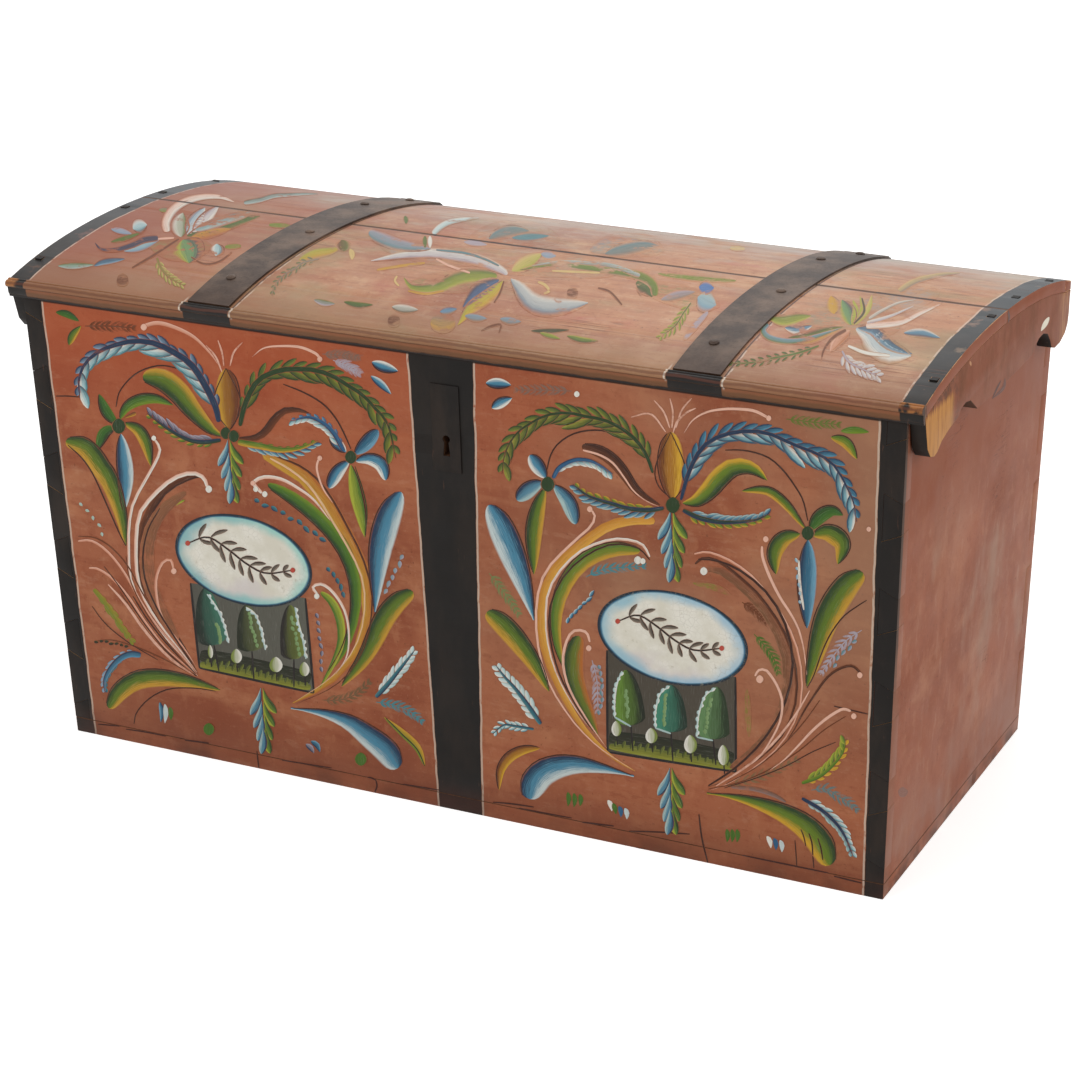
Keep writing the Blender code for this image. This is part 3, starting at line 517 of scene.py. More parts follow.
def frontPaint():
    graph = Graph("front_paint")
    place = graph.place()
    x, z = place.part("X"), place.part("Z")
    tone = grounds["front"]
    colour = frontGround(place)
    wobble = (place.stretch((4.0, 4.0, 26.0)).noise(1.0, 3.0) - 0.5) * wander
    edges = {name: bandEdge(z, ends, wobble) for name, ends in frontBands.items()}
    leftBand = (x - edges["left"]).between(softEdge, -softEdge)
    rightBand = (x - edges["right"]).between(-softEdge, softEdge)
    inside = within(x, edges["middleLeft"], edges["middleRight"])
    black = leftBand.most(rightBand).most(inside)
    colour = colour.mix(blackPaint(place).glaze("pitch", inside, 0.45), black)
    worn = place.stretch((30.0, 30.0, 9.0)).noise(6.0, 3.0, 0.7)
    lines = [near(x - edges[name] - away * mm, *frontWear["line"]) for name, away in frontLines.items()]
    line = strongest(lines) * worn.between(0.30, 0.44)
    colour = colour.glaze("chalk", line, 0.8)
    chips = place.stretch((60.0, 60.0, 22.0)).noise(1.0, 4.0, 0.65)
    chipped = abs(z - frontWear["chipsAt"]).between(*frontWear["chipsReach"])
    chip = chips.between(0.66, 0.70) * rightBand * chipped
    colour = colour.glaze("chipRed", chip, 0.9)
    shadow = (z - rim).between(*frontWear["shadow"])
    colour = colour.glaze("rimShadow", shadow, 0.9)
    grime = z.between(*frontWear["grime"]) * place.noise(14.0, 4.0).between(0.36, 0.70)
    colour = colour.glaze("floorGrime", grime, 0.55)
    height = paintRelief(place, tone) + line * 0.15 - chip
    rough = place.noise(30.0, 3.0) * 0.18 + 0.48
    return graph.finish(colour, rough, height, 0.25 * mm)


def strapTraces(x, wobble):
    # Black under the straps, the rest of a white line on either side of them, and a painted shadow along the
    # right edge of each strap
    spans = [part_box(node) for node in strapNodes]
    under = strongest([within(x, low.x, high.x) for low, high in spans])
    line, shadowSpread = strapTrace["line"], strapTrace["shadowSpread"]
    right = strongest([near(x - high.x - strapTrace["right"] + wobble, *line) for low, high in spans])
    left = strongest([near(x - low.x + strapTrace["left"] + wobble, *line) for low, high in spans])
    gap = strongest([near(x - high.x - strapTrace["gap"], *shadowSpread) for low, high in spans])
    return under, right, left, gap


def lidEnds(place):
    # How far out a point lies, the unevenness of painted edges, and the black of the lid's ends
    wobble = (place.stretch((4.0, 26.0, 4.0)).noise(1.0, 3.0) - 0.5) * wander
    ends = abs(place.part("X")) + wobble
    return ends, wobble, ends.between(lidBand * mm - softEdge, lidBand * mm + softEdge)


# Seams of the lid and lines beside the straps: how far they reach, in mm either side or in metres back
lidWear = dict(seam=(2.0, 4.6), backSeam=(1.2, 3.2), ragged=0.003, line=(0.7, 1.4), rightLine=(-0.05, -0.14),
               leftLine=(-0.244, -0.254), greyed=(-0.22, 0.12))


def lidSeam(place):
    x, y = place.part("X"), place.part("Y")
    ragged = (place.stretch((9.0, 40.0, 9.0)).noise(1.0, 3.0) - 0.5) * lidWear["ragged"]
    seam = near(y + x * seamSkew - seamMiddle + ragged, *lidWear["seam"])
    return seam.most(near(y - backStripLow.y + ragged, *lidWear["backSeam"]) * 0.8)


def lidPaint():
    graph = Graph("lid_paint")
    place = graph.place()
    x, y = place.part("X"), place.part("Y")
    tone = grounds["lid"]
    colour = lidGround(place)
    ends, wobble, black = lidEnds(place)
    worn = place.stretch((30.0, 9.0, 30.0)).noise(6.0, 3.0, 0.7)
    line = near(ends - (lidBand - lidLine) * mm, *lidWear["line"]) * worn.between(0.36, 0.52)
    under, right, left, gap = strapTraces(x, wobble)
    line = line.most(right * y.between(*lidWear["rightLine"]) * worn.between(0.42, 0.54))
    line = line.most(left * y.between(*lidWear["leftLine"]))
    # Painted shadow along the right edge of each strap
    colour = colour.glaze("strapShadow", gap, 0.85)
    scuffed = place.noise(26.0, 4.0, 0.65).between(0.58, 0.70)
    greyer = blackPaint(place).glaze("greyBlack", (y + scuffed * 0.1).between(*lidWear["greyed"]), 0.6)
    colour = colour.mix(greyer, black * (1.0 - scuffed * 0.35))
    colour = colour.glaze("lidChalk", line, 0.6)
    colour = colour.glaze("seamDark", lidSeam(place), 0.95)
    grain = place.stretch((2.2, 95.0, 40.0)).noise(1.0, 3.0, 0.5)
    fissure = abs(grain - 0.5).between(0.014, 0.004) * place.noise(8.0).between(0.52, 0.62)
    colour = colour.glaze("fissure", fissure, 0.5)
    height = paintRelief(place, tone) + line * 0.15 - fissure
    rough = place.noise(30.0, 3.0) * 0.16 + 0.40
    return graph.finish(colour, rough, height, 0.22 * mm, specular=0.3)


# Where on the moulding the painted shade under the nose, the painted shadow along its underside, its lines
# and its groove lie, as shares of its height from above down; its rubbed ends in metres
noseShadeAndWear = dict(brown=(0.72, 0.50), shadedHollow=(0.46, 0.30), undersideShadow=(0.13, 0.06), line=(0.40, 0.60),
                groove=0.84, grooveReach=(0.09, 0.03), bareUp=(0.58, 0.70), bareEnds=(562 * mm, 568 * mm),
                bareRight=(0.40, 0.50))


def mouldingPaint():
    # Ground on the nose; painted shade below it, darker in the hollow under it, and a painted shadow along
    # the underside
    graph = Graph("moulding_paint")
    place = graph.place()
    x, z = place.part("X"), place.part("Z")
    colour = lidGround(place).mix(shade("noseHaze"), 0.34)
    uneven = place.stretch((8.0, 1.0, 1.0)).noise(3.0, 4.0, 0.6) - 0.5
    height = (z - mouldingLow.z) * (1 / (mouldingHigh.z - mouldingLow.z)) + uneven * 0.22
    # Painted shade on the lower half of the nose and in the hollow, then a painted shadow along the
    # underside
    colour = colour.glaze("noseUnderShade", height.between(*noseShadeAndWear["brown"]), 0.85)
    colour = colour.glaze("hollowShade", height.between(*noseShadeAndWear["shadedHollow"]), 0.85)
    colour = colour.glaze("undersideShadow", height.between(*noseShadeAndWear["undersideShadow"]))
    ends, wobble, black = lidEnds(place)
    under, right, left, gap = strapTraces(x, wobble)
    colour = colour.mix(blackPaint(place), black.most(under))
    bare = black * height.between(*noseShadeAndWear["bareUp"]) * place.noise(60.0, 3.0).between(0.36, 0.50)
    bare = bare * ends.between(*noseShadeAndWear["bareEnds"]).most(x.between(*noseShadeAndWear["bareRight"]))
    colour = colour.glaze("bareOrange", bare, 0.9)
    line = right.most(left) * height.between(*noseShadeAndWear["line"])
    colour = colour.glaze("noseChalk", line, 0.85)
    groove = abs(height - noseShadeAndWear["groove"]).between(*noseShadeAndWear["grooveReach"])
    colour = colour.glaze("groove", groove, 0.55)
    grit = place.noise(120.0, 3.0, 0.6)
    return graph.finish(colour, grit * 0.2 + 0.42, grit, 0.2 * mm, specular=0.25)


# Heights of the sides' coats and how far the front's black wraps round, in metres
sideWear = dict(high=(0.40, 0.58), low=(0.16, 0.02), foot=(0.03, 0.0), wrapped=(8.5 * mm, 5.0 * mm),
                wrappedUp=(0.22, 0.34), greyed=(30 * mm, 6 * mm), ragged=0.016)


def sidePaint(name, tone, dust="A98E7A"):
    graph = Graph(name)
    place = graph.place()
    y, z = place.part("Y"), place.part("Z")
    colour = groundPaint(place, tone)
    faded = place.stretch((1.0, 1.4, 0.7)).noise(6.5, 4.0, 0.6)
    colour = colour.glaze(dust, faded.between(0.52, 0.74), 0.45)
    high = (z + faded * 0.12).between(*sideWear["high"])
    colour = colour.glaze("highRust", high, 0.85)
    low = z.between(*sideWear["low"]) * place.noise(12.0, 4.0).between(0.38, 0.66)
    colour = colour.glaze("lowDust", low, 0.7)
    foot = z.between(*sideWear["foot"]) * place.noise(30.0, 4.0).between(0.40, 0.62)
    colour = colour.glaze("sideGrime", foot, 0.7)
    scratches = place.stretch((40.0, 7.0, 60.0)).noise(2.0, 2.0, 0.5)
    scratch = abs(scratches - 0.52).between(0.010, 0.002) * place.noise(7.0).between(0.56, 0.66)
    colour = colour.glaze("scratch", scratch, 0.5)
    fromFront = y + z * frontLean - (frontAtRim + frontLean * rim) + (faded - 0.5) * sideWear["ragged"]
    wrapped = fromFront.between(*sideWear["wrapped"])
    colour = colour.mix(blackPaint(place), wrapped * z.between(*sideWear["wrappedUp"]))
    colour = colour.glaze("greyRub", fromFront.between(*sideWear["greyed"]), 0.35)
    height = paintRelief(place, tone) - scratch
    rough = place.noise(26.0, 3.0) * 0.2 + 0.52
    return graph.finish(colour, rough, height, 0.25 * mm)


# The worn ear, the dirt at the front and the bare rear of a cleat, in metres up and back
cleatWear = dict(earUp=(0.590, 0.580), earBack=(-0.160, -0.178), dirt=(-0.12, -0.19), rear=(0.205, 0.235))


def cleatPaint():
    # As the sides; the front ear is worn to bare orange wood
    graph = Graph("cleat_paint")
    place = graph.place()
    y, z = place.part("Y"), place.part("Z")
    tone = grounds["side"]
    colour = groundPaint(place, tone)
    faded = place.stretch((1.0, 1.4, 0.7)).noise(16.0, 5.0, 0.65)
    colour = colour.glaze("cleatDark", faded.between(0.46, 0.66), 0.8)
    colour = colour.glaze("cleatLight", faded.between(0.42, 0.32), 0.6)
    colour = colour.glaze("cleatBrown", 0.55)
    fibres = place.stretch((30.0, 190.0, 24.0)).noise(1.0, 4.0, 0.6)
    ear = (z + (fibres - 0.5) * 0.02).between(*cleatWear["earUp"]) * y.between(*cleatWear["earBack"])
    bare = fibres.between(0.40, 0.74).blend("earWood", "earGrain")
    dirt = place.noise(95.0, 4.0, 0.7).between(0.46, 0.58) * y.between(*cleatWear["dirt"])
    colour = colour.glaze("earDirt", dirt, 0.6)
    colour = colour.mix(bare, ear)
    rear = y.between(*cleatWear["rear"]) * (fibres + faded * 0.5).between(0.62, 0.80)
    colour = colour.glaze("rearWood", rear, 0.8)
    height = paintRelief(place, tone) + fibres * ear
    rough = faded * 0.2 + 0.5
    return graph.finish(colour, rough, height, 0.3 * mm)


def bareWood(name, deep, light, along):
    graph = Graph(name)
    place = graph.place()
    rings = place.stretch(along).noise(1.0, 3.0, 0.5, 0.6)
    lines = place.stretch([a * 5 for a in along]).noise(1.0, 4.0, 0.6)
    colour = ((rings * 6.0).folded(1.0) * 0.55).blend(light, deep)
    colour = colour.glaze(deep, lines.between(0.46, 0.70), 0.55)
    stains = place.noise(5.0, 4.0, 0.6)
    colour = colour.glaze("stain", stains.between(0.54, 0.76), 0.45)
    knots = place.stretch([a * 0.12 for a in along]).cells(1.0)
    colour = colour.glaze("knot", knots.between(0.09, 0.03), 0.8)
    height = lines * 0.7 + rings * 0.3
    rough = lines * 0.15 + 0.66
    return graph.finish(colour, rough, height, 0.3 * mm)


def wornEdge(name, tone, bare, baring):
    # The rounded edges, where the paint is rubbed down to the wood
    graph = Graph(name)
    place = graph.place()
    colour = groundPaint(place, tone)
    rub = place.noise(38.0, 4.0, 0.65)
    colour = colour.glaze(bare, rub.between(0.62 - baring, 0.72 - baring))
    grit = place.noise(120.0, 3.0, 0.6)
    colour = colour.glaze("grit", grit.between(0.58, 0.72), 0.8)
    rough = rub * 0.2 + 0.5
    return graph.finish(colour, rough, grit, 0.2 * mm)


def iron(name, deep, light, rust, sheen, lowShade=0.0):
    graph = Graph(name)
    place = graph.place()
    hammer = place.noise(42.0, 3.0, 0.5)
    pits = place.noise(320.0, 3.0, 0.6)
    cloud = place.noise(16.0, 5.0, 0.62)
    colour = cloud.between(0.36, 0.68).blend(deep, light)
    colour = colour.glaze("rust", cloud.between(0.60, 0.74) * rust)
    colour = colour.glaze("pit", pits.between(0.60, 0.74), 0.6)
    # Painted shade: the straps are darker on their lower, front part, below the sheen on their tops
    low = (place.part("Y") + cloud * 0.06).between(-0.12, -0.24)
    colour = colour.glaze("strapLowShade", low * lowShade)
    rough = pits * 0.22 + sheen
    height = hammer * 0.6 + pits * 0.4
    return graph.finish(colour, rough, height, 0.35 * mm, specular=0.3, metallic=0.1)


finishes = dict(
    front=frontPaint(),
    lid=lidPaint(),
    moulding=mouldingPaint(),
    side=sidePaint("side_paint", grounds["side"]),
    back=sidePaint("back_paint", grounds["back"], "8F7564"),
    cleat=cleatPaint(),
    black=oldBlack(),
    longWood=bareWood("bare_pine", "80592F", "B08654", (2.0, 22.0, 22.0)),
    crossWood=bareWood("bare_pine_cross", "80592F", "AC8250", (22.0, 2.0, 22.0)),
    darkWood=bareWood("dark_pine", "2E1A10", "5A3A24", (22.0, 2.0, 22.0)),
    lidEdge=wornEdge("worn_lid_edge", grounds["side"], "D09C6C", 0.22),
    seamEdge=wornEdge("seam_edge", grounds["back"], "5A3020", 0.20),
    peg=bareWood("peg_wood", "6E4A2A", "9A7044", (60.0, 60.0, 12.0)),
    strap=iron("strap_iron", "3D3029", "6E5A4C", 0.35, 0.42, 0.75),
    plainIron=iron("bare_iron", "332D2A", "4F4540", 0.7, 0.45),
)
print("finishes ready")

# Boards: a softened copy of each CAD board
# Of each: the finish of the sides that face a way, of its rounded edges, of the rest, and the rounding in mm
rightSide, leftSide = {(1, 0, 0): "side"}, {(-1, 0, 0): "side"}
frontSide, backSide = {(0, -1, 0): "front"}, {(0, 1, 0): "back"}
across = {**rightSide, **leftSide}
plank = dict(edges={(0, 0, 1): "darkWood"}, wood="longWood", round=0.8)
lidBoard = dict(edges={(1, 0, 0): "lidEdge", (-1, 0, 0): "lidEdge", (0, 1, 0): "seamEdge",
                       (0, -1, 0): "seamEdge"}, wood="longWood")
lidSides = {(0, 0, 1): "lid", **across}
mouldingSides = {(0, 0, 1): "moulding", (0, -1, 0): "moulding", **across, (0, 0, -1): "darkWood"}
cleat = dict(faces={(1, 0, 0): "cleat", (-1, 0, 0): "cleat", (0, -1, 0): "black", **backSide,
                    (0, 0, -1): "darkWood"}, wood="crossWood", round=0.8)
boards = dict(
    front_panel=dict(faces={**frontSide, **across}, wood="longWood", round=0.4),
    bottom_front_plank=dict(faces={**frontSide, **across}, **plank),
    bottom_rear_plank=dict(faces={**backSide, **across}, **plank),
    back_panel=dict(faces={**backSide, **across}, wood="longWood", round=0.4),
    right_end=dict(faces={**rightSide, **frontSide, **backSide}, wood="crossWood", round=0.4),
    left_end=dict(faces={**leftSide, **frontSide, **backSide}, wood="crossWood", round=0.4),
    till_bottom=dict(faces={}, wood="crossWood", round=0.6),
    till_wall=dict(faces={}, wood="crossWood", round=0.8),
    lid_front_board=dict(faces=lidSides, **lidBoard, round=0.9),
    lid_middle_board=dict(faces=lidSides, **lidBoard, round=0.9),
    lid_back_strip=dict(faces={(0, 1, 0): "lid", **lidSides}, **lidBoard, round=1.0),
    lid_front_moulding=dict(faces=mouldingSides, wood="longWood", round=0.3),
    lid_left_cleat=cleat,
    lid_right_cleat=cleat,
)
softening = dict(merge=0.01 * mm, flat=math.radians(0.5), sharp=math.radians(38), faceWay=0.6, edgeWay=0.3)
keyholeReach = 0.04                          # the keyhole's walls lie this near to the middle
bodyOf = {node: body for body, nodes in frame["record"]["behaviour"]["bodies"].items() for node in nodes}


def finishFacing(normal, choices, least):
    ways = [way for way in choices if normal.dot(Vector(way)) > least]
    return choices[max(ways, key=lambda way: normal.dot(Vector(way)))] if ways else None


def softBoard(node, settings):
    bm = bmesh.new()
    bm.from_mesh(frame["nodes"][node].data)
    bmesh.ops.remove_doubles(bm, verts=bm.verts, dist=softening["merge"])
    bmesh.ops.dissolve_limit(bm, angle_limit=softening["flat"], verts=bm.verts, edges=bm.edges)
    sharp = [e for e in bm.edges if e.is_manifold and e.calc_face_angle(0.0) > softening["sharp"]]
    softened = bmesh.ops.bevel(bm, geom=sharp, offset=settings["round"] * mm, segments=2, profile=0.5,
                               affect="EDGES", material=-1, clamp_overlap=True)
    rounded = set(softened["faces"])
    faces, edges = settings["faces"], settings.get("edges", {})
    edgeWay, faceWay = softening["edgeWay"], softening["faceWay"]
    names = list(dict.fromkeys([settings["wood"], "darkWood", *faces.values(), *edges.values()]))
    for face in bm.faces:
        if face in rounded:
            name = finishFacing(face.normal, edges, edgeWay) or finishFacing(face.normal, faces, edgeWay)
            name = name or ("darkWood" if faces and abs(face.normal.z) < 0.5 else None)
        else:
            name = finishFacing(face.normal, faces, faceWay)
        nearKeyhole = node == "front_panel" and abs(face.calc_center_median().x) < keyholeReach
        if nearKeyhole and abs(face.normal.y) < faceWay:
            name = "darkWood"
        face.material_index = names.index(name or settings["wood"])
    slot = frame["nodes"][node].get("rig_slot", "painted_wood")
    made = makeObject(node + "_worn", bm, [finishes[name] for name in names], bodyOf[node], slot, True)
    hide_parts(node)


for node, settings in boards.items():
    softBoard(node, settings)
print("boards softened:", len(boards))


def dress(names, finish):
    for node, made in frame["nodes"].items():
        if any(node.startswith(name) for name in names):
            made.data.materials.clear()
            made.data.materials.append(finish)


dress(["lid_strap", "back_leaf", "strap_nail"], finishes["strap"])
dress(["leaf_nail", "hinge_pin", "lock_", "staple_nail", "lid_staple"], finishes["plainIron"])
dress(["bottom_back_peg", "bottom_front_peg"], finishes["peg"])
dress(["lid_peg", "keyhole_plate"], finishes["black"])

# Brush marks of the painted ornament. Each is a path of the photograph's pixels, from its head to its tail.
# peak: where along the path it is widest; full: how blunt it is; head and tail: how thick the paint is there
Mark = namedtuple("Mark", "peak full along across head tail")
marks = dict(
    leaf=Mark(0.45, 0.70, 16, 4, 1.0, 0.85),
    blunt=Mark(0.30, 0.60, 18, 4, 1.0, 0.7),
    blade=Mark(0.32, 0.80, 18, 4, 1.0, 0.8),
    scythe=Mark(0.18, 1.05, 20, 4, 1.0, 0.9),
    wisp=Mark(0.45, 0.50, 5, 2, 0.70, 0.42),
    comma=Mark(0.20, 0.60, 12, 3, 1.0, 0.7),
    tuft=Mark(0.42, 0.75, 6, 2, 0.95, 0.85),
    line=Mark(0.50, 0.16, 24, 2, 0.95, 0.8),
    drop=Mark(0.66, 0.62, 12, 4, 0.95, 1.0),
    whip=Mark(0.16, 0.48, 28, 4, 1.05, 0.55),
    faint=Mark(0.50, 0.30, 16, 2, 0.62, 0.5),
    dot=Mark(0.50, 0.50, 6, 4, 1.0, 1.0),
    petal=Mark(0.56, 0.46, 14, 4, 1.0, 1.0),
    barb=Mark(0.58, 0.60, 7, 2, 1.0, 0.9),
    haze=Mark(0.50, 0.50, 12, 4, 0.40, 0.32),
    tree=Mark(None, None, 14, 4, 1.0, 1.0),
)
# A film of paint: its lift off the board, more per layer and per mark, its depth, a pixel on the chest
paintFilm = dict(lift=0.10 * mm, layer=0.04 * mm, step=0.0007 * mm, depth=0.35 * mm, pixel=1.2 * mm)
thinnest = 0.04                              # half a mark's least width, as a share of its width
rootReach = 0.5                              # up to this share of a mark its root's paint shows
beadSpread = dict(aside=0.3, turn=0.5, length=(0.55, 0.85))
barbSpread = dict(lean=5, length=(0.85, 1.12))
ovalLayer = 6


def pathPoint(points, share):
    # A smooth curve through the points, read at a share of its length
    lengths = [0.0]
    for a, b in zip(points, points[1:]):
        lengths.append(lengths[-1] + (b - a).length)
    target = max(0.0, min(share, 1.0)) * lengths[-1]
    index = 0
    while index < len(points) - 2 and lengths[index + 1] < target:
        index += 1
    a, b = points[index], points[index + 1]
    before = points[index - 1] if index else a * 2 - b
    after = points[index + 2] if index + 2 < len(points) else b * 2 - a
    t = (target - lengths[index]) / max(lengths[index + 1] - lengths[index], 1e-9)
    return 0.5 * ((2 * a) + (b - before) * t + (2 * before - 5 * a + 4 * b - after) * t * t
                  + (3 * a - before - 3 * b + after) * t ** 3)


def pathWay(points, share):
    small = 0.01
    way = pathPoint(points, min(share + small, 1.0)) - pathPoint(points, max(share - small, 0.0))
    return way.normalized() if way.length > 0 else Vector((1, 0))


def leftOf(way):
    return Vector((way.y, -way.x))       # pixels count downwards


def layerOf(kind):                       # thin marks lie over broad ones
    return 2 if kind in ("line", "whip", "faint") else 1


def addFilm(made, depth):
    film = made.modifiers.new("film", "SOLIDIFY")
    film.thickness = depth
    film.offset = -1.0


def swell(kind, share):              # how full a mark is there, 1 at its widest
    if kind == "tree":               # a rounded top on a broad foot
        return math.sqrt(1 - (1 - share) ** 2) * min(1.0, (1 - share) * 9 + 0.35)
    style = marks[kind]
    power = math.log(0.5) / math.log(style.peak)
    return max(math.sin(math.pi * share ** power), 0.0) ** style.full


class Painter:                   # one painted field, its marks in one mesh
    def __init__(self, name, onSurface, body, seed):
        self.name = name
        self.onSurface = onSurface
        self.body = body
        self.bm = bmesh.new()
        self.leftPaint = self.bm.verts.layers.float_color.new("leftPaint")
        self.rightPaint = self.bm.verts.layers.float_color.new("rightPaint")
        self.middlePaint = self.bm.verts.layers.float_color.new("middlePaint")
        self.brush = self.bm.verts.layers.float_vector.new("brush")
        self.hairs = self.bm.verts.layers.float_vector.new("hairs")
        self.count = 0
        self.random = random.Random(seed)

    def paintOf(self, colours):
        left, right = (colours.split() * 2)[:2]
        known = between.get(tuple(sorted((left, right))))
        left, right = Vector(shade(left)), Vector(shade(right))
        return left, Vector(shade(known)) if known else (left + right) / 2, right

    def stroke(self, kind, width, colours, path, layer=1, cover=1.0, root=None):
        style = marks[kind]
        points = [Vector(p) for p in path]
        paint = self.paintOf(colours)
        deep = Vector(shade(root or "soot"))
        grid = bmesh.ops.create_grid(self.bm, x_segments=style.across, y_segments=style.along, size=1.0)
        self.count += 1
        lift = paintFilm["lift"] + paintFilm["layer"] * layer + paintFilm["step"] * self.count
        length = sum((b - a).length for a, b in zip(points, points[1:]))
        seed = self.random.uniform(0, 50)
        scale = paintFilm["pixel"]
        for vert in grid["verts"]:
            across = -vert.co.x
            share = 0.5 - 0.5 * math.cos(math.pi * (vert.co.y + 1) / 2)
            half = width * max(swell(kind, share) / 2, thinnest)
            pixel = pathPoint(points, share) + leftOf(pathWay(points, share)) * (across * half)
            vert.co = self.onSurface(pixel.x, pixel.y, lift)
            shadow = max(0.0, 1 - share / rootReach) if root else 0.0
            tints = [tint.lerp(deep, shadow) for tint in paint]
            vert[self.leftPaint], vert[self.middlePaint], vert[self.rightPaint] = tints
            thick = (style.head + (style.tail - style.head) * share) * cover
            vert[self.brush] = Vector((across, share, thick))
            vert[self.hairs] = Vector((across * width / 2 * scale, share * length * scale, seed))

    def outlined(self, kind, width, colours, path, layer=1, line=1.4, cover=0.85):
        # The mark with a thin dark line down its darker side
        self.stroke(kind, width, colours, path, layer)
        left, middle, right = self.paintOf(colours)
        aside = width * (0.49 if sum(left) <= sum(right) else -0.49)
        points = [Vector(p) for p in path]
        shares = [0.02 + 0.96 * index / 9 for index in range(10)]
        edge = [pathPoint(points, s) + leftOf(pathWay(points, s)) * aside * swell(kind, s) for s in shares]
        self.stroke("line", line, "umber", edge, layer + 1, cover)

    def dot(self, colours, middle, radius, layer):
        path = [(middle[0], middle[1] - radius), middle, (middle[0], middle[1] + radius)]
        self.stroke("dot", radius * 2, colours, path, layer)

    def beads(self, size, colours, path, count, layer):
        points = [Vector(p) for p in path]
        for index in range(count):
            share = (index + 0.5) / count
            here, way = pathPoint(points, share), pathWay(points, share)
            aside, turn = beadSpread["aside"], beadSpread["turn"]
            here = here + leftOf(way) * size * self.random.uniform(-aside, aside)
            dab = (way + leftOf(way) * self.random.uniform(-turn, turn)) * size
            dab = dab * self.random.uniform(*beadSpread["length"])
            self.stroke("tuft", size, colours, [here - dab, here, here + dab], layer)

    def tufts(self, path, side, count, reach, width, lean, colours, start=0.04, end=0.97, bend=0.25, layer=1,
              kind="barb", root=None):
        # Short strokes off a path: side 1 is left of the way it runs, -1 right
        points = [Vector(p) for p in path]
        for index in range(count):
            share = start + (end - start) * (index + 0.5) / count
            here, way = pathPoint(points, share), pathWay(points, share)
            aside = leftOf(way) * side
            turn = math.radians(lean + self.random.uniform(-barbSpread["lean"], barbSpread["lean"]))
            first = way * math.cos(turn) + aside * math.sin(turn)
            size = reach * (0.55 + 0.45 * math.sin(math.pi * min(1.0, 0.18 + share * 0.9)))
            size *= self.random.uniform(*barbSpread["length"])
            middle = here + first * size * 0.5
            tip = here + first * size + way * size * bend
            self.stroke(kind, width, colours, [here, middle, tip], layer, 1.0, root)

    def feather(self, path, spine, spineWidth, barbs, layer):
        for side, count, reach, width, lean, colours, *root in barbs:
            rooted = root[0] if root else None
            self.tufts(path, side, count, reach, width, lean, colours, layer=layer, root=rooted)
        self.stroke("whip", spineWidth, spine, path, layer + 1)

    def patch(self, colours, corners):
        # A plain field between four corners, clockwise from the upper left
        grid = bmesh.ops.create_grid(self.bm, x_segments=14, y_segments=14, size=1.0)
        upperLeft, upperRight, lowerRight, lowerLeft = [Vector(corner) for corner in corners]
        paint = self.paintOf(colours)
        for vert in grid["verts"]:
            u, v = (vert.co.x + 1) / 2, (1 - vert.co.y) / 2
            pixel = upperLeft.lerp(upperRight, u).lerp(lowerLeft.lerp(lowerRight, u), v)
            vert.co = self.onSurface(pixel.x, pixel.y, paintFilm["lift"])
            vert[self.leftPaint], vert[self.middlePaint], vert[self.rightPaint] = paint
            vert[self.brush] = Vector((u - 0.5, v, 1.0))
            vert[self.hairs] = Vector((u * 0.12, v * 0.12, 3.0))

    def finish(self, material):
        made = makeObject(self.name, self.bm, [material], self.body, "painted_wood")
        addFilm(made, paintFilm["depth"])


def brushwork(name, tone, wear, fade=0.0, soft=0.06):
    graph = Graph(name)
    place = graph.place()
    ground = groundOf[tone](place)

    def given(attribute, output):
        return graph.node("ShaderNodeAttribute", dict(attribute_name=attribute), {}, output)

    brush = given("brush", "Vector")
    across, cover = brush.part("X"), brush.part("Z")
    hairs = given("hairs", "Vector").stretch((1500.0, 60.0, 1.0)).noise(1.0, 3.0, 0.6)
    wander = across + (hairs - 0.5) * 1.2
    colour = given("rightPaint", "Color").mix(given("middlePaint", "Color"), wander.between(-0.72, -0.05))
    colour = colour.mix(given("leftPaint", "Color"), wander.between(0.12, 0.80))
    colour = colour.glaze("umber", hairs.between(0.52, 0.72), 0.32)
    colour = colour.glaze("white", hairs.between(0.44, 0.26), 0.12)
    age = place.noise(150.0, 4.0, 0.65)
    rubbed = place.noise(34.0, 4.0, 0.62)
    laid = cover * 1.5 + (hairs - 0.5) * 0.9 + (age - 0.5) * 0.8 - rubbed.between(0.46, 0.70) * wear
    edge = abs(across).between(1.02, 1.0 - soft * 2)
    opaque = laid.between(0.35, 0.95) * edge * (1.0 - fade)
    colour = ground.mix(colour, opaque)
    if tone == "lid":
        colour = colour.glaze("seamDark", lidSeam(place), 0.95)
    height = hairs * 0.7 + age * 0.3
    rough = age * 0.2 + 0.42
    return graph.finish(colour, rough, height, 0.12 * mm, specular=0.22)


frontBrush = brushwork("front_brushwork", "front", 0.25, 0.0, 0.10)
lidBrush = brushwork("lid_brushwork", "lid", 0.85, 0.12, 0.30)
groveBrush = brushwork("grove_brushwork", "front", 0.0, 0.0, 0.0)
sideBrush = brushwork("side_brushwork", "side", 0.0)

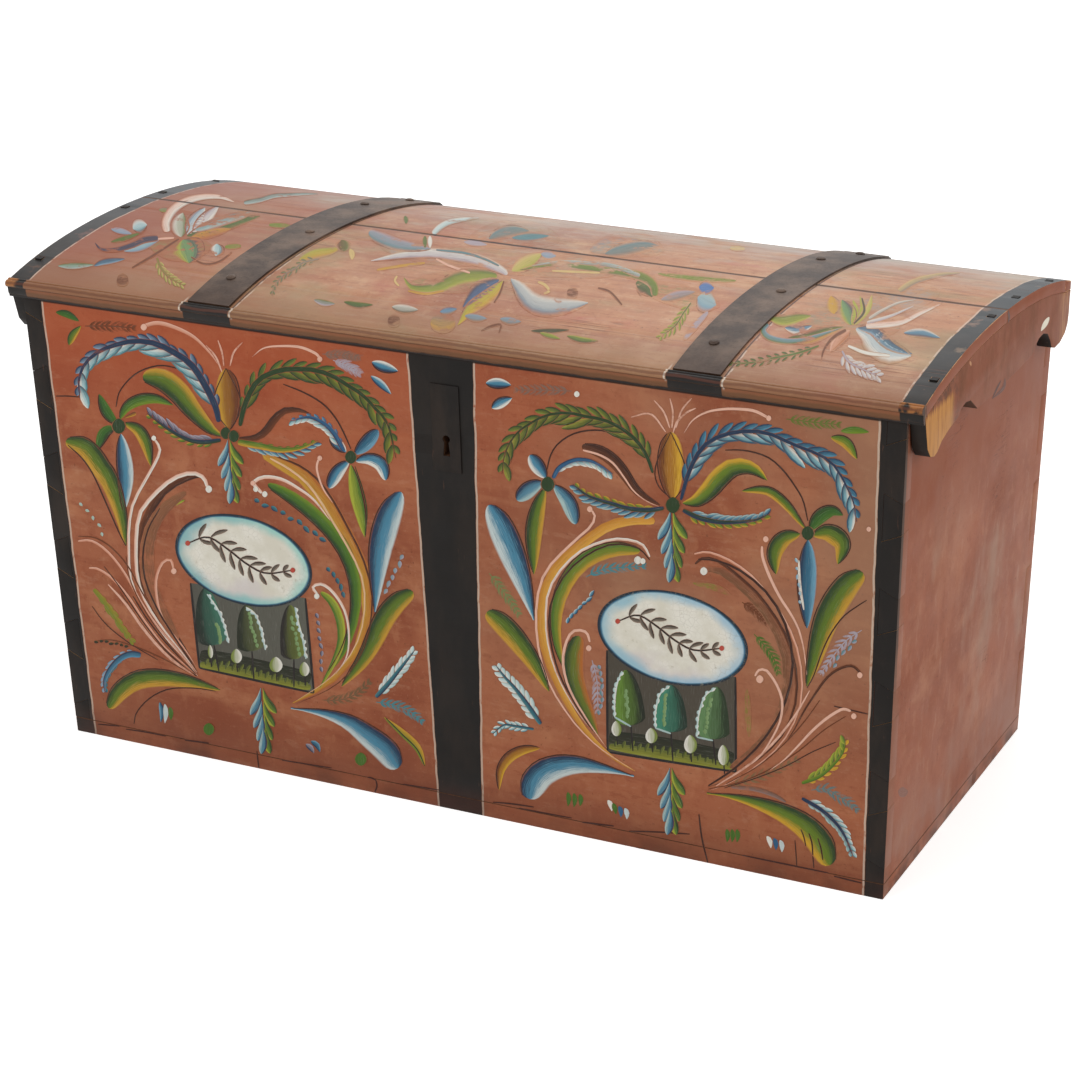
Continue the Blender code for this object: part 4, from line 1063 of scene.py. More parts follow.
# Left field of the front: mark, width, paint left and right of its way, one path or more
leftField = dict(
    cornerLeafA=("leaf", 8, "forest green", [(56, 312), (67, 314), (79, 321)]),
    cornerLeafB=("leaf", 9, "forest ochre", [(69, 345), (73, 335), (81, 326)]),
    twigStem=("line", 1.4, "brown", [(85, 326), (110, 326), (135, 328)]),
    roseCurl=("whip", 4.5, "rose blush", [(141, 327), (157, 323), (174, 327), (194, 337), (210, 353),
        (218, 364)]),
    broadLeaf=("blunt", 23, "ochre forest", [(143, 376), (162, 379), (179, 392), (194, 411), (212, 430),
        (223, 436)]),
    thinStem=("line", 1.6, "umber", [(116, 407), (120, 391), (134, 375), (151, 367), (168, 366),
        (194, 374)]),
    hairs=("faint", 2, "rose", [(222, 372), (216, 357), (206, 345)], [(224, 366), (222, 352), (218, 340)],
        [(230, 366), (234, 352), (243, 342)]),
    petalA=("leaf", 11, "forest green", [(117, 424), (107, 412), (99, 394)]),
    petalB=("leaf", 12, "forest leaf", [(120, 419), (127, 407), (140, 400), (156, 399), (173, 405)]),
    petalC=("leaf", 12, "forest green", [(115, 427), (104, 433), (97, 450)]),
    petalD=("leaf", 13, "forest ochre", [(124, 423), (138, 430), (146, 444), (151, 466)]),
    petalE=("comma", 4, "ochre brown", [(136, 413), (124, 418)]),
    longPetal=("leaf", 17, "pale navy", [(121, 434), (124, 456), (126, 480), (124, 512)]),
    budLeaf=("petal", 25, "ochre brown", [(229, 430), (228, 400), (226, 369)]),
    budLines=("line", 1.2, "umber", [(229, 430), (216, 412), (215, 394), (226, 368)], [(230, 430),
        (240, 412), (239, 394), (226, 368)]),
    tallLeaf=("blunt", 21, "forest ochre", [(66, 441), (86, 448), (100, 467), (110, 482), (120, 512),
        (126, 545)]),
    tallLeafEdge=("line", 1.6, "umber", [(68, 445), (82, 458), (93, 474), (104, 498), (118, 530),
        (126, 546)]),
    outerCurl=("whip", 3.2, "white rose", [(154, 438), (160, 450), (154, 465), (146, 479), (133, 504),
        (129, 528), (129, 553), (131, 580), (144, 608), (164, 636), (184, 658), (198, 676)]),
    tanFill=("faint", 15, "7A4E34 86583A", [(186, 492), (165, 508), (152, 528), (147, 552), (149, 580),
        (160, 608), (178, 640)]),
    scrollBody=("blunt", 9, "umber brown", [(203, 476), (190, 477), (165, 490), (147, 517), (140, 545),
        (140, 576), (151, 600), (168, 624), (184, 648), (198, 674)]),
    innerCurl=("whip", 4.5, "white rose", [(208, 488), (203, 477), (190, 473), (171, 480), (151, 498),
        (139, 516), (136, 548), (138, 580), (148, 606), (164, 630), (180, 650), (197, 672)]),
    smallCurl=("whip", 3, "rose blush", [(174, 570), (171, 560), (163, 562), (157, 575), (156, 590),
        (160, 612), (170, 630), (184, 648), (197, 668)]),
    roseLines=("whip", 2.6, "rose blush", [(78, 541), (92, 541), (108, 552), (124, 572), (140, 600),
        (156, 624), (176, 648), (198, 674)], [(89, 568), (98, 569), (112, 578), (128, 596), (144, 620),
        (164, 646), (184, 664), (198, 676)]),
    fanLineA=("line", 1.5, "brown", [(78, 536), (96, 538), (112, 548), (128, 566), (142, 592), (160, 622)]),
    fanLineB=("line", 1.5, "umber", [(133, 596), (148, 620), (168, 645), (196, 674)]),
    fanLineC=("line", 1.4, "brown", [(120, 592), (136, 616), (156, 642), (182, 666)]),
    fanLineD=("line", 1.6, "umber", [(164, 652), (178, 664), (197, 676)]),
    fanLineE=("line", 1.3, "brown", [(126, 556), (131, 582), (146, 612), (166, 640), (186, 664)]),
    fanLineF=("line", 1.2, "umber", [(104, 566), (122, 590), (142, 620), (164, 648), (190, 672)]),
    fanLineG=("line", 1.3, "brown", [(96, 641), (112, 640), (134, 646), (162, 658), (188, 672)]),
    fanLineH=("faint", 3.0, "rose", [(108, 584), (126, 604), (146, 632), (170, 658), (194, 675)]),
    fanLineI=("line", 1.1, "umber", [(92, 606), (106, 624), (128, 642), (158, 660)]),
    edgeShade=("line", 2.0, "umber", [(160, 508), (148, 530), (143, 556), (146, 582), (158, 610), (174, 636),
        (192, 664)]),
    smallLeaf=("leaf", 5, "green lime", [(169, 508), (176, 503), (185, 500)]),
    roseArc=("whip", 3, "rose", [(320, 358), (315, 353), (300, 347), (281, 346), (264, 348), (252, 357)]),
    blueTipA=("leaf", 11, "white navy", [(372, 362), (385, 367), (398, 371)]),
    blueTipB=("leaf", 8, "pale navy", [(371, 376), (381, 384), (391, 394)]),
    rightStem=("line", 1.8, "umber", [(283, 384), (303, 392), (322, 403), (335, 417), (344, 433),
        (351, 449)]),
    bendLeaf=("leaf", 9, "umber brown", [(237, 438), (254, 438), (265, 432), (274, 420), (284, 411),
        (298, 410), (311, 414)]),
    bluePetalA=("petal", 15, "navy sky", [(355, 454), (366, 444), (378, 430)]),
    bluePetalB=("petal", 14, "navy white", [(356, 461), (369, 459), (381, 465), (386, 480)]),
    bluePetalC=("petal", 14, "white navy", [(349, 461), (338, 472), (329, 488)]),
    bluePetalD=("petal", 11, "navy white", [(346, 452), (338, 444), (331, 436)]),
    longGreen=("leaf", 13, "green lime", [(351, 465), (355, 490), (360, 512), (365, 537)]),
    longGreenEdge=("line", 1.2, "forest", [(355, 466), (363, 490), (367, 512), (365, 537)]),
    orangeScroll=("comma", 17, "orange ochre", [(262, 452), (275, 459), (290, 467), (308, 479), (322, 495),
        (336, 518), (352, 545), (365, 572), (369, 598), (366, 628), (355, 656), (332, 681), (319, 690),
        (293, 703)]),
    scrollLight=("whip", 2.4, "straw rose", [(270, 458), (288, 468), (305, 481), (318, 497), (332, 520),
        (348, 547), (361, 574), (365, 598), (362, 628), (351, 654), (329, 679), (296, 701)]),
    scrollShade=("whip", 2.4, "umber brown", [(276, 456), (300, 466), (318, 480), (334, 502), (348, 528),
        (362, 556), (371, 586), (372, 610), (367, 640), (353, 668), (331, 688), (296, 704)]),
    greenInner=("blunt", 15, "leaf forest", [(268, 484), (290, 496), (314, 514), (336, 537), (350, 562),
        (356, 590), (354, 620), (344, 650), (326, 676)]),
    roseScroll=("whip", 4, "white rose", [(262, 493), (254, 483), (264, 477), (281, 479), (298, 488),
        (314, 500), (330, 520)]),
    roseDrop=("whip", 2.4, "rose", [(319, 458), (317, 469), (323, 488), (333, 503)]),
    blueBlade=("blade", 27, "pale navy", [(401, 492), (391, 512), (384, 534), (379, 560), (375, 612)]),
    greenBlade=("blunt", 22, "ochre forest", [(413, 592), (397, 603), (384, 620), (374, 641), (362, 662),
        (342, 686)]),
    innerRose=("whip", 3.2, "rose white", [(318, 595), (313, 587), (322, 584), (334, 593), (345, 611),
        (349, 633), (347, 656), (336, 674)]),
    innerOlive=("blunt", 9, "lime green", [(321, 592), (332, 602), (340, 620), (341, 642), (333, 664),
        (320, 688)]),
    lowLeaf=("blunt", 20, "forest ochre", [(109, 708), (120, 692), (136, 681), (157, 678), (185, 681),
        (220, 690)]),
    lowLeafEdge=("line", 1.4, "umber", [(134, 724), (137, 712), (150, 698), (169, 689), (194, 688),
        (216, 691)]),
    lowBlade=("scythe", 25, "pale navy", [(398, 768), (386, 751), (368, 736), (348, 722), (322, 713),
        (291, 708)]),
    limeBlade=("leaf", 8, "leaf ochre", [(425, 766), (418, 748), (403, 733), (384, 717)]),
    limeBladeVein=("line", 1.4, "forest", [(425, 766), (417, 749), (402, 734), (386, 718)]),
    floretBlueA=("tuft", 5.5, "navy sky", [(160, 702), (162, 712), (161, 722)]),
    floretBlueB=("tuft", 5.5, "pale", [(165, 704), (166, 713), (165, 723)]),
    floretGreen=("tuft", 5.5, "green", [(170, 707), (171, 713), (171, 720)]),
    floretVioletA=("tuft", 6, "lilac navy", [(306, 744), (311, 748), (314, 753)]),
    floretVioletB=("tuft", 6, "sky navy", [(311, 741), (317, 745), (320, 752)]),
)
leftDots = [
    ("rose", (144, 327), 3.4), ("forest", (119, 426), 7.5), ("white", (209, 489), 3.6),
    ("rose", (174, 571), 3.0), ("white", (154, 438), 2.6), ("rose", (320, 359), 2.8),
    ("forest", (351, 457), 6.5), ("forest", (226, 433), 6.0), ("forest", (234, 436), 6.0),
    ("white", (265, 494), 3.0), ("white", (256, 489), 2.8), ("rose", (253, 483), 2.6),
    ("rose", (320, 458), 2.6), ("white", (317, 596), 3.0), ("green", (209, 729), 6.0),
    ("green", (361, 759), 6.5),
]
# Of each feather: the path of its spine, its paint and width, then its rows of barbs:
# side, count, reach, width, lean, paint, paint at the root
leftFeathers = dict(
    blueArc=([(219, 422), (215, 405), (204, 383), (191, 364), (172, 351), (154, 343), (134, 341), (115, 345),
        (98, 352), (85, 364), (79, 380), (80, 398)], "navy", 7.0, (1, 15, 36, 9.5, 28, "teal white", "navy"),
        (-1, 19, 15, 6.5, 20, "8298AC navy", "navy")),
    greenArc=([(240, 426), (244, 408), (251, 391), (261, 378), (281, 370), (298, 369), (315, 370),
        (333, 376), (349, 386), (363, 395), (375, 408), (388, 424), (396, 458)], "forest", 6,
        (-1, 17, 29, 8.0, 29, "7E8230 forest", "forest"), (1, 19, 16, 6.0, 24, "forest 6A7630", "forest")),
    knotLeft=([(221, 440), (203, 442), (187, 439), (167, 428), (147, 413)], "forest navy", 5,
        (-1, 11, 15, 4.5, 32, "navy lilac", "navy"), (1, 9, 9, 4.5, 30, "green ochre", "forest")),
    rightFan=([(344, 451), (334, 433), (322, 422), (308, 417), (290, 421)], "navy blue", 5,
        (1, 9, 14, 5, 34, "white teal", "navy"), (-1, 8, 7, 3.5, 28, "sky blue", "navy")),
    knotRight=([(238, 442), (260, 446), (281, 450), (300, 448), (318, 441)], "green ochre", 7,
        (-1, 10, 14, 4.5, 32, "navy mist", "navy"), (1, 8, 7, 4, 26, "green ochre", "forest")),
    oliveSprig=([(94, 589), (104, 601), (114, 615), (124, 630), (134, 643)], "8A7E22 6E7A28", 5,
        (-1, 7, 11, 4, 16, "8A7E22 6E7A28"), (1, 7, 11, 4, 16, "8A7E22 6E7A28")),
    whiteFeather=([(376, 697), (388, 684), (400, 669), (415, 650)], "teal navy", 5,
        (1, 9, 11, 4.5, 34, "white mist"), (-1, 9, 11, 4.5, 34, "white mist")),
    lowBlue=([(141, 655), (131, 654), (121, 658), (111, 668), (105, 680), (105, 692)], "4A86A2 navy", 7,
        (1, 9, 9, 4, 26, "teal navy"), (-1, 9, 9, 4, 24, "lilac sky")),
)
leftTwigs = dict(
    redTwig=("brown", [(85, 326), (110, 326), (136, 328)]),
    greyTwig=("7C5E50", [(322, 354), (341, 355), (361, 358)]),
    lilacTwig=("lilac", [(333, 360), (347, 366), (361, 374)]),
    scrollTwig=("6A5236", [(322, 700), (339, 700), (356, 694), (371, 681)]),
    lowTwig=("teal", [(376, 702), (390, 704), (409, 711), (424, 723)]),
)
leftBeads = dict(
    dropChain=(3.2, "mist 9FB09A", [(77, 502), (84, 508), (91, 515), (99, 526), (105, 538)], 5),
    darkChain=(3.2, "forest umber", [(94, 641), (112, 643), (129, 647)], 7),
    tealChainA=(5, "teal navy", [(253, 498), (280, 512), (304, 526), (327, 542)], 9),
    tealChainB=(4.5, "teal navy", [(327, 566), (337, 580), (345, 598)], 5),
    whiteChain=(4, "lilac navy", [(316, 612), (320, 640), (323, 673)], 8),
    blueChain=(4.5, "lilac 6E8E96", [(404, 554), (395, 572), (385, 595)], 6),
)
leftPalmettes = dict(
    knotDrop=((229, 440), (234, 504), 4, 25, 8.5),
    lowDrop=((262, 688), (266, 754), 4, 26, 8.5),
)

# Right field of the front
rightField = dict(
    blueTipA=("leaf", 11, "white navy", [(486, 383), (498, 383), (511, 385)]),
    blueTipB=("leaf", 11, "navy white", [(492, 408), (501, 403), (512, 398)]),
    thinStem=("line", 1.8, "umber", [(547, 470), (550, 457), (556, 446), (567, 437), (579, 432), (594, 430),
        (609, 432), (622, 440), (632, 447)]),
    brownLeaf=("blunt", 13, "umber brown", [(582, 446), (595, 450), (607, 456), (618, 466), (627, 478),
        (635, 489), (646, 498), (660, 505)]),
    brownLeafEdge=("whip", 2.2, "rose", [(583, 450), (600, 455), (613, 463), (624, 477), (633, 490),
        (645, 500), (660, 507)]),
    budLeaf=("petal", 27, "brown yellow", [(673, 500), (671, 468), (671, 432)]),
    budLines=("line", 1.3, "umber", [(673, 500), (658, 485), (656, 465), (671, 432)], [(674, 500),
        (686, 482), (684, 462), (671, 432)]),
    petalA=("petal", 15, "white navy", [(546, 478), (538, 467), (530, 455)]),
    petalB=("petal", 17, "mist navy", [(543, 482), (530, 489), (517, 500)]),
    petalC=("petal", 16, "navy mist", [(554, 485), (568, 502), (576, 524)]),
    longGreen=("leaf", 18, "ochre forest", [(545, 488), (538, 510), (534, 535), (534, 574)]),
    yellowBand=("whip", 11, "D29C40 B87A2C", [(655, 521), (634, 520), (611, 525), (594, 535), (577, 548),
        (560, 563), (547, 583), (541, 612), (542, 636), (548, 660), (558, 684), (572, 711), (590, 736),
        (612, 757), (635, 771)]),
    roseOuter=("whip", 2.8, "rose", [(590, 508), (595, 516), (591, 526), (580, 536), (567, 548), (552, 563),
        (543, 577), (538, 594), (536, 615), (537, 636), (541, 660), (550, 685), (563, 707), (578, 727),
        (600, 748), (633, 770)]),
    greenInner=("blunt", 17, "ochre green", [(640, 551), (620, 549), (600, 553), (582, 563), (568, 580),
        (559, 601), (556, 625), (559, 650), (566, 672)]),
    roseInner=("whip", 3.0, "rose white", [(650, 557), (643, 545), (630, 540), (614, 539), (598, 543),
        (584, 549), (572, 558), (557, 575), (548, 594), (546, 615), (547, 636), (552, 660), (561, 683),
        (574, 706), (588, 726)]),
    scrollShade=("line", 2, "umber", [(650, 560), (640, 549), (628, 545), (614, 544), (600, 548), (587, 555),
        (574, 565), (562, 579), (553, 597), (549, 616), (550, 637), (555, 660), (563, 682), (576, 705)]),
    innerLeaf=("blunt", 21, "orange forest", [(579, 636), (574, 655), (574, 675), (580, 695), (589, 715),
        (598, 735)]),
    innerRose=("whip", 3.0, "rose", [(590, 642), (587, 633), (580, 630), (572, 632), (566, 643), (563, 660),
        (566, 679), (573, 696), (583, 713), (594, 730), (607, 748)]),
    blueBlade=("blade", 28, "navy pale", [(489, 505), (499, 524), (510, 549), (520, 575), (527, 596),
        (534, 620)]),
    greenBladeLow=("blunt", 22, "forest ochre", [(487, 612), (503, 625), (519, 643), (534, 664),
        (549, 691)]),
    yellowLow=("leaf", 11, "yellow brown", [(540, 748), (524, 750), (510, 757), (501, 770), (499, 790)]),
    blueLow=("scythe", 29, "navy pale", [(530, 799), (533, 786), (542, 774), (558, 767), (578, 765),
        (605, 769), (634, 776)]),
    broadLeaf=("leaf", 21, "yellow forest", [(683, 503), (695, 501), (707, 492), (719, 478), (731, 468),
        (744, 466), (756, 470), (767, 480)]),
    rightStem=("line", 1.8, "umber", [(725, 450), (741, 450), (757, 453), (771, 459), (784, 471), (795, 486),
        (803, 500), (808, 521)]),
    archLeaf=("leaf", 10, "forest ochre", [(742, 491), (755, 490), (768, 491), (779, 498), (790, 509),
        (800, 522), (807, 530)]),
    petalE=("leaf", 15, "forest green", [(810, 530), (820, 517), (832, 511), (843, 515)]),
    petalF=("leaf", 20, "forest ochre", [(813, 535), (829, 533), (842, 544), (838, 564)]),
    petalG=("leaf", 18, "ochre forest", [(800, 534), (784, 539), (775, 553), (776, 574)]),
    longBlue=("leaf", 20, "sky navy", [(808, 540), (808, 560), (807, 590), (807, 628)]),
    longBlueLight=("faint", 3, "white", [(799, 560), (800, 585), (804, 610)]),
    cornerLeafA=("leaf", 8, "green leaf", [(841, 431), (855, 430), (869, 432)]),
    cornerLeafB=("leaf", 11, "green ochre", [(831, 437), (846, 443), (857, 459)]),
    roseArc=("whip", 3.2, "rose", [(769, 418), (755, 411), (740, 409), (724, 409), (707, 412), (693, 420),
        (684, 433)]),
    roseHairs=("faint", 2, "rose", [(670, 428), (664, 412), (654, 400)], [(672, 428), (673, 412),
        (670, 398)], [(676, 428), (682, 410), (692, 398)], [(696, 408), (686, 413), (679, 421)], [(673, 433),
        (678, 420), (689, 411)], [(666, 432), (651, 414), (631, 417)]),
    brownFill=("faint", 12, "7E4C34 6E4A30", [(700, 571), (716, 569), (732, 578), (748, 591), (764, 608),
        (776, 627), (786, 650), (789, 676), (785, 703), (774, 727), (756, 748), (730, 768)]),
    brownScroll=("whip", 3.6, "umber brown", [(695, 564), (704, 558), (718, 561), (731, 570), (744, 581),
        (757, 593), (771, 611), (782, 628), (790, 646), (795, 665), (797, 683), (795, 705), (787, 727),
        (776, 743), (760, 758), (744, 768), (727, 780), (708, 787)]),
    brownScrollLight=("whip", 2.6, "rose blush", [(694, 554), (707, 552), (723, 557), (739, 566), (755, 579),
        (768, 595), (780, 612), (790, 630), (797, 648), (801, 668), (802, 690), (799, 710), (791, 728),
        (780, 745), (764, 760), (746, 773), (727, 784), (708, 791)]),
    oliveHair=("haze", 7, "leaf", [(693, 583), (717, 588), (731, 595)]),
    scrollDark=("line", 3.0, "umber", [(698, 559), (714, 560), (732, 566), (750, 577), (768, 594),
        (782, 616), (790, 640), (793, 664), (789, 690), (779, 716), (760, 744), (735, 768), (708, 786)]),
    rootA=("line", 1.3, "brown", [(846, 716), (824, 730), (800, 750), (772, 768), (740, 782), (708, 789)]),
    rootB=("line", 1.2, "umber", [(836, 742), (812, 752), (786, 766), (756, 778), (724, 788)]),
    rootC=("line", 1.3, "brown", [(820, 700), (804, 722), (784, 744), (758, 766), (726, 784)]),
    rootD=("faint", 2.6, "rose", [(810, 690), (796, 714), (776, 740), (750, 764), (716, 786)]),
    roseScrollB=("whip", 3.2, "rose", [(762, 546), (763, 558), (770, 577), (780, 597), (791, 614),
        (799, 630), (804, 650), (807, 675)]),
    greenBladeRight=("blunt", 28, "ochre forest", [(863, 573), (849, 584), (836, 602), (827, 619),
        (820, 640), (814, 662), (807, 686)]),
    greenBladeEdge=("line", 1.6, "umber", [(867, 600), (856, 607), (843, 617), (830, 635), (821, 655),
        (814, 675), (807, 688)]),
    curlDark=("whip", 3.2, "umber brown", [(861, 673), (853, 666), (843, 667), (832, 673), (824, 681),
        (815, 694), (804, 711), (794, 730), (786, 742)]),
    curlRose=("whip", 3.2, "rose", [(851, 711), (843, 709), (833, 714), (822, 722), (811, 732), (797, 747),
        (784, 760), (770, 770)]),
    innerRoseRight=("whip", 2.8, "rose", [(755, 676), (759, 670), (766, 670), (772, 677), (778, 687),
        (782, 699), (782, 712), (778, 727), (766, 748), (755, 761), (734, 774)]),
    greyLeaf=("faint", 5, "86706A 6A4A3A", [(786, 802), (774, 795), (755, 789), (731, 787)]),
    greenLow=("scythe", 27, "yellow forest", [(830, 865), (822, 846), (808, 829), (787, 815), (760, 804),
        (734, 797), (707, 793)]),
    greenLowGaps=("line", 1.6, "umber", [(809, 833), (812, 843), (813, 855)], [(818, 838), (821, 848),
        (823, 860)]),
    greenLowGapC=("line", 1.4, "umber", [(801, 829), (804, 837), (806, 846)]),
    greenHair=("haze", 7, "leaf", [(747, 689), (748, 713), (749, 737)]),
    florets=("tuft", 5.5, "green", [(568, 792), (569, 799), (568, 806)], [(574, 793), (575, 800),
        (574, 807)], [(580, 794), (581, 800), (580, 806)]),
    floretD=("tuft", 5.5, "white", [(608, 800), (611, 805), (612, 811)]),
    floretE=("tuft", 5.5, "green", [(613, 803), (615, 808), (616, 814)]),
    floretF=("tuft", 5.5, "blue", [(619, 806), (621, 811), (621, 817)]),
    floretG=("tuft", 5.5, "pale", [(625, 808), (627, 813), (627, 819)]),
    floretsB=("tuft", 5.5, "green", [(727, 829), (728, 836), (727, 842)], [(732, 829), (733, 836),
        (732, 842)], [(737, 829), (738, 836), (737, 842)]),
    floretK=("tuft", 5.5, "white", [(767, 836), (770, 841), (771, 848)]),
    floretL=("tuft", 5.5, "blue", [(774, 838), (776, 843), (776, 850)]),
    floretM=("tuft", 5.5, "pale", [(780, 840), (782, 845), (782, 852)]),
)
rightDots = [
    ("forest", (673, 505), 8), ("forest", (548, 484), 7.5), ("forest", (808, 533), 7),
    ("rose", (590, 509), 3), ("white", (638, 560), 4), ("white", (643, 561), 3), ("white", (577, 394), 3),
    ("rose", (589, 648), 3), ("white", (704, 571), 4), ("rose", (766, 539), 3), ("rose", (760, 679), 4),
    ("rose", (860, 675), 3), ("rose", (854, 716), 3), ("rose", (869, 529), 2.5), ("rose", (769, 418), 2.8),
]
rightFeathers = dict(
    greenArc=([(653, 473), (647, 456), (638, 442), (627, 432), (614, 424), (601, 419), (584, 416),
        (571, 413), (558, 413), (544, 416), (531, 423), (520, 430), (511, 441), (505, 454), (502, 474)],
        "forest", 4, (1, 17, 29, 8, 29, "forest 8E8C36", "forest"),
        (-1, 19, 18, 6, 25, "7A8232 forest", "forest")),
    blueArc=([(681, 500), (688, 475), (696, 457), (706, 444), (720, 436), (736, 432), (752, 431), (768, 433),
        (784, 440), (800, 447), (816, 453), (830, 461), (839, 472), (847, 487), (853, 500), (857, 522)],
        "navy", 4.5, (-1, 18, 36, 9, 28, "white deepTeal", "navy"),
        (1, 21, 19, 6.5, 21, "navy 4A849C", "navy")),
    flowerFan=([(553, 478), (560, 467), (574, 460), (588, 460), (600, 465), (613, 474)], "navy blue", 5,
        (-1, 9, 15, 5.5, 33, "teal white", "navy")),
    knotLeft=([(664, 508), (647, 510), (627, 508), (614, 504), (600, 500), (587, 495), (573, 484)],
        "forest navy", 5, (1, 12, 15, 5.5, 31, "mist navy", "navy"),
        (-1, 10, 10, 5, 29, "green ochre", "forest")),
    knotRight=([(683, 510), (700, 518), (720, 522), (738, 522), (755, 520), (769, 514)], "forest navy", 5,
        (1, 12, 15, 5.5, 31, "mist navy", "navy"), (-1, 10, 11, 5, 29, "green ochre", "forest")),
    whiteFeather=([(541, 724), (528, 705), (515, 688), (505, 677), (496, 665)], "teal navy", 5,
        (1, 9, 12, 5, 34, "white mist"), (-1, 9, 12, 5, 34, "white mist")),
    tealSprig=([(534, 729), (515, 726), (504, 725), (493, 734)], "teal navy", 3,
        (1, 7, 8, 3.5, 36, "teal white"), (-1, 7, 8, 3.5, 36, "teal white")),
    blueLowFeather=([(802, 798), (822, 810), (837, 824), (846, 838), (853, 856)], "navy", 4,
        (1, 11, 12, 4.5, 26, "white teal", "navy"), (-1, 11, 10, 4.5, 26, "teal mist", "navy")),
    limeFeather=([(802, 783), (820, 776), (834, 764), (843, 752), (846, 739)], "leaf green", 4,
        (1, 9, 14, 5, 36, "lime green"), (-1, 8, 8, 4, 32, "ochre yellow")),
)
rightTwigs = dict(
    oliveTwig=("6E7A4A", [(489, 573), (505, 593), (520, 616)]),
    lilacTwig=("lilac", [(592, 660), (597, 681), (598, 714)]),
    tealTwig=("teal", [(586, 577), (598, 571), (614, 568), (647, 566)]),
    greenTwig=("green", [(754, 634), (766, 647), (774, 659), (779, 675)]),
    edgeTwig=("lilac", [(862, 630), (847, 640), (834, 655), (820, 675)]),
    brownTwig=("brown", [(742, 602), (755, 611), (767, 623)]),
    greyTwig=("7C5E50", [(572, 391), (545, 390), (513, 390)]),
    cornerTwig=("5E6A2A", [(786, 419), (812, 422), (841, 425)]),
    lowTwig=("5E7474", [(811, 790), (826, 789), (838, 796), (848, 802), (859, 812)]),
    leafTwig=("7A6040", [(728, 786), (755, 778), (780, 768), (800, 758)]),
)
rightBeads = dict(
    navyChain=(4.5, "pale navy", [(566, 622), (580, 607), (595, 592)], 7),
    lilacChain=(4, "lilac teal", [(598, 664), (602, 690), (600, 716)], 8),
    edgeChain=(4, "lilac teal", [(858, 640), (844, 652), (832, 668)], 5),
    blueDrops=(3.2, "pale sky", [(797, 556), (798, 580), (801, 606)], 6),
)
rightPalmettes = dict(
    knotDrop=((672, 510), (674, 582), 4, 29, 9.5),
    lowDrop=((671, 768), (672, 834), 4, 27, 9.5),
)

